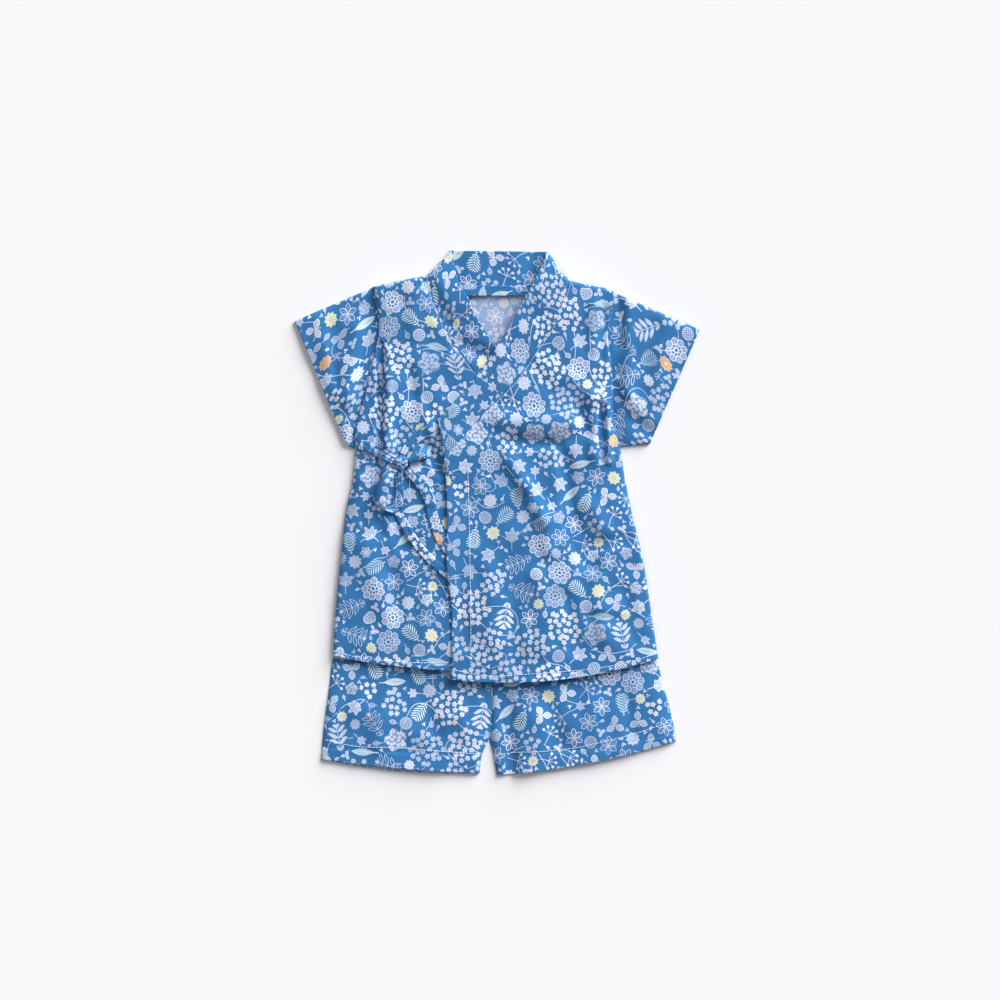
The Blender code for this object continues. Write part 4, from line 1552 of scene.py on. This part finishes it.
@dataclass
class Tie:
    """A narrow sewn tie, folded flat, that lies on the front below it.

    Args:
        node: the CAD node that it stands for.
        stations: its stations, from the knot or to it.
        offset: where it was cut from the cloth.
        turn_side: direction of its width, where it turns back over itself as a loop.
        wall: its thickness.
        twist: height of the small folds along it.
        gather: height of the gathers beside the knot.
        arch: rise of the middle of a loop's upper layer.
        spacing: spacing of its points.
    """

    node: str
    stations: Sequence[Station]
    offset: tuple[float, float]
    turn_side: tuple[float, float] | None = None
    wall: float = 1.0
    twist: float = 0.25
    gather: float = 0.75
    arch: float = 1.4
    spacing: float = 1.2

    def cut(self) -> SewnCloth:
        """Cuts the tie, a strip of rows across its middle line.

        Returns:
            Its cloth.
        """
        table = np.array(self.stations, float)
        rests = under_top(table[:, 0], table[:, 1]) + GAP
        spatial = np.column_stack((table[:, :2], table[:, 2] + rests))
        run = np.concatenate(([0.0], np.cumsum(np.linalg.norm(np.diff(spatial, axis=0), axis=1))))
        down = spaced(run[-1], self.spacing)
        x, y, lift, width = hermite(run, table, down).T
        level = under_top(x, y) + GAP
        centre = np.column_stack((x, y, level + lift + self.wall / 2.0))
        across, normal = self.directions(centre, down)
        down = down[:, None]
        side = np.linspace(-1.0, 1.0, 13)[None, :]
        half = width[:, None] / 2.0
        bulge = np.sqrt(np.maximum(1.0 - np.abs(side) ** 5, 0.0))
        from_knot = np.hypot(x - KNOT[0], y - KNOT[1])[:, None]
        gathered = self.gather * np.exp(-np.maximum(from_knot - 5.0, 0.0) / 11.0)
        wave = np.sin(down * 0.55 + side * 1.7) * np.cos(side * 4.2 + 0.5) * self.twist
        wave = (wave + gathered * np.cos(side * 7.5 + np.sin(down * 0.21))) * bulge
        flat = centre[:, None, :] + across[:, None, :] * (side * half)[..., None]
        flat[..., 2] += self.arch * ease(1.5, 3.5, lift)[:, None] * (1.0 - side**2)
        if not self.turn_side:
            ground = under_top(flat[..., 0], flat[..., 1]) + GAP * 0.4
            flat[..., 2] = np.maximum(flat[..., 2], ground + self.wall / 2.0)
        thick = self.wall / 2.0 * bulge + 0.02
        upper = flat + normal[:, None, :] * (thick + wave)[..., None]
        lower = flat - normal[:, None, :] * thick[..., None]
        cloth_x = side * half + self.offset[0]
        places = np.stack((cloth_x, down + self.offset[1] + 0.0 * cloth_x), -1)
        return SewnCloth(self.node, upper, lower, places, double=True, rests_on=UNDER_BOW)

    def directions(self, centre: np.ndarray, down: np.ndarray) -> tuple[np.ndarray, np.ndarray]:
        """Finds which way the tie lies at each row.

        Args:
            centre: the middle of each row.
            down: distance of each row along the tie.

        Returns:
            Directions of its width and of its upper face.
        """
        tangent = np.gradient(centre, down, axis=0)
        if self.turn_side:
            across = np.tile(np.array([*self.turn_side, 0.0]), (len(down), 1))
        else:
            across = np.column_stack((-tangent[:, 1], tangent[:, 0], np.zeros(len(down))))
            across /= np.linalg.norm(across, axis=1)[:, None]
        normal = np.cross(tangent, across)
        return across, normal / np.linalg.norm(normal, axis=1)[:, None]


@dataclass
class Knot:
    """The wrapped knot of the bow: a small tight cushion of cloth with creases round it.

    Args:
        node: the CAD node that it stands for.
        size: its width, length and height.
        inner: size of the cloth's inner face, as a share of the outer one.
        wrap: length of tie that goes round it.
        offset: where that length was cut from the cloth.
        columns: points round it.
        rows: points from its foot to its top.
    """

    node: str = "bow_knot"
    size: tuple[float, float, float] = (13.0, 12.5, 8.0)
    inner: float = 0.82
    wrap: float = 36.0
    offset: tuple[float, float] = (40.0, 90.0)
    columns: int = 56
    rows: int = 29

    def cut(self) -> SewnCloth:
        """Wraps the knot.

        Returns:
            Its cloth.
        """
        turn = np.linspace(0.0, 2.0 * math.pi, self.columns + 1)[:-1][None, :]
        steepest = math.pi / 2.0 - 0.04
        tilt = np.linspace(-steepest, steepest, self.rows)[:, None]
        run = np.linspace(0.0, self.wrap, self.columns + 1)[None, :] + 0.0 * tilt
        places = np.stack((run + self.offset[0], tilt * 6.0 + self.offset[1] + 0.0 * run), -1)
        outer, inner = (self.points(turn, tilt, scale) for scale in (1.0, self.inner))
        return SewnCloth(
            self.node, outer, inner, places, closed=True, double=True, rests_on=UNDER_BOW
        )

    def points(self, turn: np.ndarray, tilt: np.ndarray, scale: float) -> np.ndarray:
        """Returns the knot's points: a soft box with wrap creases.

        Args:
            turn: angles round it.
            tilt: angles up from its waist.
            scale: size as a share of the whole.

        Returns:
            A grid of points.
        """
        base = float(under_top(*np.array(KNOT)[:, None])[0]) + GAP
        flat_x = np.cos(turn) * np.cos(tilt)
        flat_y = np.sin(turn) * np.cos(tilt)
        height = np.sin(tilt) + 0.0 * turn
        diagonal = flat_x * 0.5 + flat_y * 0.86
        crease = 1.0 - 0.09 * np.exp(-((np.abs(diagonal) - 0.34) / 0.1) ** 2)
        crease -= 0.05 * np.exp(-((flat_x - flat_y * 0.4) / 0.12) ** 2) * (height > 0)
        scale_all = scale * crease
        x = KNOT[0] + flat_x * self.size[0] / 2.0 * scale_all
        y = KNOT[1] + flat_y * self.size[1] / 2.0 * scale_all
        squash = np.sign(height) * np.abs(height) ** 0.8
        z = base + self.size[2] / 2.0 * (1.0 + squash * scale_all)
        return np.stack((x, y, z), -1)


@dataclass
class StitchRow:
    """A row of lockstitches along a line on the cloth.

    Args:
        name: name of the piece.
        path: points of the line.
        top: height of the cloth.
        radius: radius of the thread; real thread is half as thick, too fine to show.
        stitch: length of one stitch.
        gap: room between two stitches.
        sides: number of faces round the thread.
    """

    name: str
    path: Sequence[tuple[float, float]]
    top: Height
    radius: float = 0.33
    stitch: float = 3.0
    gap: float = 0.25
    sides: int = 6

    def build(self, wardrobe: Wardrobe) -> bpy.types.Object:
        """Builds and dresses the row as one joined mesh.

        Args:
            wardrobe: the thread's material and the list of pieces that the row joins.

        Returns:
            The new object.
        """
        table = np.array(self.path, float)
        run = np.concatenate(([0.0], np.cumsum(np.hypot(*np.diff(table, axis=0).T))))
        points: list[tuple[float, ...]] = []
        faces: list[tuple[int, ...]] = []
        start = 0.3
        while start + self.stitch < run[-1]:
            ends = np.linspace(start, start + self.stitch, 5)
            self.add_stitch(hermite(run, table, ends), points, faces)
            start += self.stitch + self.gap
        mesh = bpy.data.meshes.new(self.name)
        mesh.from_pydata(points, [], faces)
        mesh.materials.append(wardrobe.thread)
        mesh.shade_smooth()
        piece = new_object(self.name, mesh)
        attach(piece, BODY)
        wardrobe.pieces.append(piece)
        log.info("%s: %.0f mm of stitches", self.name, run[-1])
        return piece

    def add_stitch(
        self, line: np.ndarray, points: list[tuple[float, ...]], faces: list[tuple[int, ...]]
    ) -> None:
        """Adds one stitch, a short thread that dips into the cloth at both ends.

        Args:
            line: x and y of its points.
            points: list of points that it joins.
            faces: list of faces that it joins.
        """
        swell = np.sin(math.pi * np.linspace(0.0, 1.0, len(line)))
        height = self.top(line[:, 0], line[:, 1]) + self.radius * (1.2 * swell - 0.35)
        thick = self.radius * (0.55 + 0.45 * swell)
        tangent = np.gradient(line, axis=0)
        across = np.column_stack((-tangent[:, 1], tangent[:, 0]))
        across /= np.linalg.norm(across, axis=1)[:, None]
        first = len(points)
        turns = [2.0 * math.pi * corner / self.sides for corner in range(self.sides)]
        for index, (x, y) in enumerate(line):
            for turn in turns:
                out, up = math.cos(turn) * thick[index], math.sin(turn) * thick[index]
                place = (x + across[index, 0] * out, y + across[index, 1] * out, height[index] + up)
                points.append(tuple(part * MM for part in place))
        around = range(self.sides)
        for low in range(first, first + (len(line) - 1) * self.sides, self.sides):
            for corner in around:
                after = (corner + 1) % self.sides
                high = low + self.sides
                faces.append((low + corner, low + after, high + after, high + corner))
        last = first + (len(line) - 1) * self.sides
        faces.append(tuple(first + corner for corner in reversed(around)))
        faces.append(tuple(last + corner for corner in around))


def over_sleeve(y: float) -> float:
    """Returns how far a front's edge lies out over the sleeve at this y."""
    return OVER_SLEEVE * float(ease(UNDERARM_Y, UNDERARM_Y + 12.0, np.array(y)))


def front_rows(table: Sequence[Front], column: int) -> list[Row]:
    """Returns the rows of a front, from its side line to its inner edge.

    Args:
        table: the front's rows.
        column: 1 for the front at the left side, 2 for the one at the right.

    Returns:
        Rows from left to right.
    """
    rows = []
    for row in table:
        x = float(side_x(np.array(row.side_y), column))
        inner = (row.edge_x, row.edge_y)
        if column == 1:
            rows.append(Row(x - over_sleeve(row.side_y), row.side_y, *inner, row.sag))
        else:
            rows.append(Row(*inner, x + over_sleeve(row.side_y), row.side_y, row.sag))
    return rows


def band_rows(
    table: Sequence[Front], edges: Sequence[tuple[float, float]], column: int
) -> list[Row]:
    """Returns rows across a stretch of the neckband, between its seam and its free edge.

    Args:
        table: rows of the front that it is sewn to.
        edges: points of its free edge.
        column: 1 for the front at the left side, 2 for the one at the right.

    Returns:
        Rows from left to right.
    """
    seams = [(row.edge_x, row.edge_y) for row in table]
    pairs = zip(seams, edges) if column == 1 else zip(edges, seams)
    return [Row(*left, *right) for left, right in pairs]


def side_floor(x: np.ndarray, y: np.ndarray) -> np.ndarray:
    """Returns what a front's side edge comes down to: the sleeve, or the back's seam."""
    shoulder = ease(188.0, 200.0, y)
    on_sleeve = ease(UNDERARM_Y, UNDERARM_Y + 8.0, y) * (1.0 - shoulder) * (TUBE_HEIGHT + 0.35)
    return np.maximum(on_sleeve, back_height(x, y) + SEAM_FLOOR)


@dataclass
class Top:
    """The wrap top.

    Args:
        hem: width of its turned hem.
        band_wall: thickness of the neckband in front.
    """

    hem: float = 5.8
    band_wall: float = 1.15

    def build(self, wardrobe: Wardrobe) -> None:
        """Builds the top's panels, bands and sleeves, then its bow and its stitches.

        Args:
            wardrobe: the print's repeat, the materials and the list of pieces.
        """
        for part in (*self.panels(), *self.sleeves(), *self.bow(), Knot()):
            part.cut().build(wardrobe)
        for row in self.stitches():
            row.build(wardrobe)

    def panels(self) -> tuple[Panel, ...]:
        """Returns the back, the fronts, the three stretches of the neckband and its tape."""
        flat, free, seam, rolled = (
            EdgeKind.HIDDEN, EdgeKind.FREE, EdgeKind.SEAM, EdgeKind.ROLLED
        )
        back = [
            Row(side.left_x + BACK_SEAM, side.y, side.right_x - BACK_SEAM, side.y, side.back_sag)
            for side in SIDES[1:]
        ]
        return (
            Panel(
                "top_back", back, back_top, (flat, flat, flat, free), spacing=MEDIUM,
                flipped=True, slot=REVERSE_SLOT, offset=(31.0, 12.0),
                rests_on=("shorts_front_left_cloth", "shorts_front_right_cloth"),
            ),
            Panel(
                "top_front_under", front_rows(UNDER_FRONT, 1), under_top,
                (rolled, seam, rolled, free), hem=self.hem, roll=3.0, offset=(150.0, 40.0),
                rests_on=("top_back_cloth",), floor=side_floor,
            ),
            Panel(
                "top_front_over", front_rows(OVER_FRONT, 2), over_top,
                (seam, rolled, rolled, free), hem=self.hem, roll=3.0,
                rests_on=("top_front_under_cloth", "top_back_cloth"), floor=side_floor,
            ),
            Panel(
                "neckband_under", band_rows(UNDER_FRONT, UNDER_BAND_EDGE, 1), under_band_top,
                (seam, free, rolled, free), wall=self.band_wall, along=True,
                offset=(80.0, 33.0), rests_on=("top_back_cloth",), floor=stand_top,
            ),
            Panel(
                "neckband_over", band_rows(OVER_FRONT, OVER_BAND_EDGE, 2), over_band_top,
                (free, seam, rolled, free), wall=self.band_wall, along=True,
                offset=(12.0, 190.0), roll=7.0, floor=stand_top,
                rests_on=("top_front_under_cloth", "neckband_under_cloth"),
            ),
            Panel(
                "neckband_back", BACK_STAND, stand_top, (flat, flat, free, flat),
                wall=1.1, along=True, offset=(60.0, 20.0),
            ),
            Panel(
                "neck_tape", NECK_TAPE, tape_top, (flat, flat, free, free),
                wall=0.8, along=True, offset=(120.0, 75.0), rests_on=("neckband_back_cloth",),
            ),
        )

    def sleeves(self) -> tuple[Sleeve, ...]:
        """Returns both sleeves. The right one rises close to its seam, as in the photo."""
        return (
            Sleeve("sleeve_left", 1, LEFT_ARMHOLE_Y, LEFT_CUFF, (20.0, 60.0)),
            Sleeve("sleeve_right", 2, RIGHT_ARMHOLE_Y, RIGHT_CUFF, (90.0, 140.0), (0.04, 0.4)),
        )

    def bow(self) -> tuple[Tie, ...]:
        """Returns the two ties up to the knot, the two loops and the two tails."""
        return (
            Tie("tie_from_neckband", FROM_NECKBAND, (30.0, 10.0)),
            Tie("tie_from_side", FROM_SIDE, (55.0, 80.0)),
            Tie("bow_loop_upper", UPPER_LOOP, (100.0, 30.0), (-0.51, 0.86)),
            Tie("bow_loop_lower", LOWER_LOOP, (160.0, 120.0), (0.93, -0.37)),
            Tie("tail_of_neckband_tie", NECKBAND_TAIL, (200.0, 60.0)),
            Tie("tail_of_side_tie", SIDE_TAIL, (215.0, 160.0)),
        )

    def stitches(self) -> tuple[StitchRow, ...]:
        """Returns the rows on both hems, the front's facing and the seams of the neckband."""
        over_seam = [(row.edge_x + 1.6, row.edge_y - 1.2) for row in OVER_FRONT[:9]]
        under_seam = [(row.edge_x - 1.6, row.edge_y - 1.2) for row in UNDER_FRONT[:6]]
        return (
            StitchRow("stitches_under_hem", UNDER_HEM_LINE, under_top),
            StitchRow("stitches_over_hem", OVER_HEM_LINE, over_top),
            StitchRow("stitches_front_facing", FACING_LINE, over_top),
            StitchRow("stitches_neckband", over_seam, over_top, FINE_THREAD),
            StitchRow("stitches_neckband_under", under_seam, under_top, FINE_THREAD),
        )


@dataclass
class Shorts:
    """The shorts below the top: two legs, and a gathered waistband that the top hides.

    Args:
        hem: width of the turned hem of a leg.
        left_back_sag: how much lower the left leg's back hangs in its middle.
        waist: width of the waistband as it lies.
        casing: height of the waistband.
        waist_y: y of its upper edge.
        casing_wall: thickness of its cloth.
        half_height: half of the height of the tube that it makes.
        edge: width over which its folded ends round off.
    """

    hem: float = 16.5
    left_back_sag: float = 3.0
    waist: float = 210.0
    casing: float = 17.0
    waist_y: float = -29.2
    casing_wall: float = 0.7
    half_height: float = 1.3
    edge: float = 2.0

    def build(self, wardrobe: Wardrobe) -> None:
        """Builds the legs, the waistband and the hems' stitches.

        Args:
            wardrobe: the print's repeat, the materials and the list of pieces.
        """
        free, rolled, flat = EdgeKind.FREE, EdgeKind.ROLLED, EdgeKind.HIDDEN
        for name, table, cut, back_sag in (
            ("left", LEFT_LEG, (20.0, 90.0), self.left_back_sag),
            ("right", RIGHT_LEG, (60.0, 196.0), 0.0),
        ):
            last = table[-1]
            back = Panel(
                "shorts_back_" + name, (*table[:-1], last._replace(sag=last.sag + back_sag)),
                flat_top(CLOTH), (free, free, flat, free), wall=0.7, spacing=MEDIUM,
                flipped=True, offset=cut[::-1],
            )
            front = Panel(
                "shorts_front_" + name, table, leg_front_top, (rolled, rolled, flat, free),
                hem=self.hem, offset=cut, rests_on=(back.node + "_cloth",),
                floor=flat_top(SEAM_FLOOR), roll=5.0,
            )
            for leg in (back, front):
                leg.cut().build(wardrobe)
        self.waistband().build(wardrobe)
        StitchRow("stitches_left_leg", LEFT_LEG_LINE, leg_front_top).build(wardrobe)
        StitchRow("stitches_right_leg", RIGHT_LEG_LINE, leg_front_top).build(wardrobe)

    def waistband(self) -> SewnCloth:
        """Returns the elastic casing, a flat tube with its gathers."""
        across = spaced(self.waist, 2.5)
        down = np.linspace(0.0, self.casing, 9)
        share, run = np.meshgrid(across / self.waist, down)
        x = (share - 0.5) * self.waist
        from_end = np.minimum(share, 1.0 - share) * self.waist
        round_edge = arc(from_end, self.edge)
        gathers = 0.12 * np.sin(x * 1.1) * round_edge
        layers = []
        for inset in (0.0, self.casing_wall):
            inner_x = x + inset * np.sign(0.5 - share) * (from_end < self.edge)
            high = self.half_height + (1.2 - inset + gathers) * round_edge
            low = self.half_height + (inset - self.half_height) * round_edge
            front, back = (np.stack((inner_x, self.waist_y - run, z), -1) for z in (high, low))
            layers.append(np.concatenate((front, back[:, ::-1][:, 1:-1]), 1))
        all_round = 2.0 * self.waist
        round_run = np.concatenate((across, all_round - across[::-1][1:-1], [all_round]))
        places = np.stack(np.meshgrid(round_run, down), -1)
        return SewnCloth("shorts_waistband", *layers, places, closed=True)


@dataclass(frozen=True)
class Studio:
    """Plain pale floor, soft light from beyond the neck, and a camera straight above.

    Args:
        centre: what the camera looks at.
        width: width of the picture at the floor.
        lens: focal length.
        sensor: width of the sensor.
        floor_colour: colour of the floor.
        floor_half: half of the floor's width, in metres, wide enough for every view.
        floor_drop: how far it lies below the cloth, in metres.
        sky: colour of the light from all round.
        sky_strength: strength of that light.
    """

    centre: tuple[float, float] = (2.5, 11.7)
    width: float = 900.0
    lens: float = 100.0
    sensor: float = 36.0
    floor_colour: str = "#F6F6F8"
    floor_half: float = 60.0
    floor_drop: float = 0.0002
    sky: tuple[float, float, float, float] = (0.93, 0.92, 1.0, 1.0)
    sky_strength: float = 0.14

    def build(self) -> None:
        """Makes the floor, the lights and the camera."""
        self.build_floor()
        self.build_light("key", (0.88, 1.02, 0.55), 46.0, 6.0)
        self.build_light("fill", (-0.7, 0.3, 1.7), 80.0, 0.6)
        world = bpy.data.worlds.new("pale_room")
        bpy.context.scene.world = world
        world.use_nodes = True
        sky = world.node_tree.nodes["Background"]
        sky.inputs[0].default_value = self.sky
        sky.inputs[1].default_value = self.sky_strength
        camera = bpy.data.cameras.new("camera")
        camera.lens = self.lens
        camera.sensor_width = self.sensor
        camera.clip_end = 200.0
        holder = new_object("camera", camera)
        away = self.width * self.lens / self.sensor
        holder.location = (self.centre[0] * MM, self.centre[1] * MM, away * MM)
        bpy.context.scene.camera = holder
        bpy.context.scene.view_settings.view_transform = "Standard"

    def build_floor(self) -> None:
        """Makes the floor, a matt paper sheet."""
        values = {"Base Color": linear(self.floor_colour), "Roughness": 0.95}
        mesh = bpy.data.meshes.new("floor")
        half = self.floor_half
        corners = [(-half, -half, 0.0), (half, -half, 0.0), (half, half, 0.0), (-half, half, 0.0)]
        mesh.from_pydata(corners, [], [(0, 1, 2, 3)])
        mesh.materials.append(
            new_material("matt_paper_floor", {**values, "Specular IOR Level": 0.1})
        )
        floor = new_object("floor", mesh)
        floor.location.z = -self.floor_drop

    def build_light(
        self, name: str, away: tuple[float, float, float], spread: float, power: float
    ) -> None:
        """Makes one even, soft light.

        Args:
            name: name of the light.
            away: direction from the set to the light.
            spread: angle that the light fills as seen from the set, in degrees.
            power: its strength.
        """
        light = bpy.data.lights.new(name, "SUN")
        light.angle = math.radians(spread)
        light.energy = power
        holder = new_object(name, light)
        holder.location = away
        holder.rotation_mode = "QUATERNION"
        holder.rotation_quaternion = (-Vector(away)).to_track_quat("-Z", "Y")


def main() -> None:
    """Builds the set and the studio."""
    logging.basicConfig(level=logging.INFO, format="%(message)s")
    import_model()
    repeat = PrintRepeat()
    log.info("print repeat holds %d discs", len(repeat.discs))
    face = PrintedCotton(
        name="printed_cotton_sheeting", ground="#3174AE", ink="#DCE5FA", cool_ink="#DDF3FA",
        heart="#F0BBA0", warm="#F6B878", yellow="#EBE9BC",
    )
    reverse = PrintedCotton(
        name="reverse_of_printed_cotton", ground="#98B1D7", ink="#E4E8F3", cool_ink="#D9E4EE",
        heart="#DED0D2", warm="#DDD0CC", yellow="#DCDDCE",
    )
    wardrobe = Wardrobe(
        repeat, face.build(repeat.line), reverse.build(repeat.line), SewingThread().build()
    )
    Shorts().build(wardrobe)
    Top().build(wardrobe)
    Studio().build()
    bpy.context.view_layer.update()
    faces = [face for piece in wardrobe.pieces for face in piece.data.polygons]
    triangles = sum(len(face.vertices) - 2 for face in faces)
    log.info("%d pieces, %d triangles", len(wardrobe.pieces), triangles)


if __name__ == "__main__":
    main()
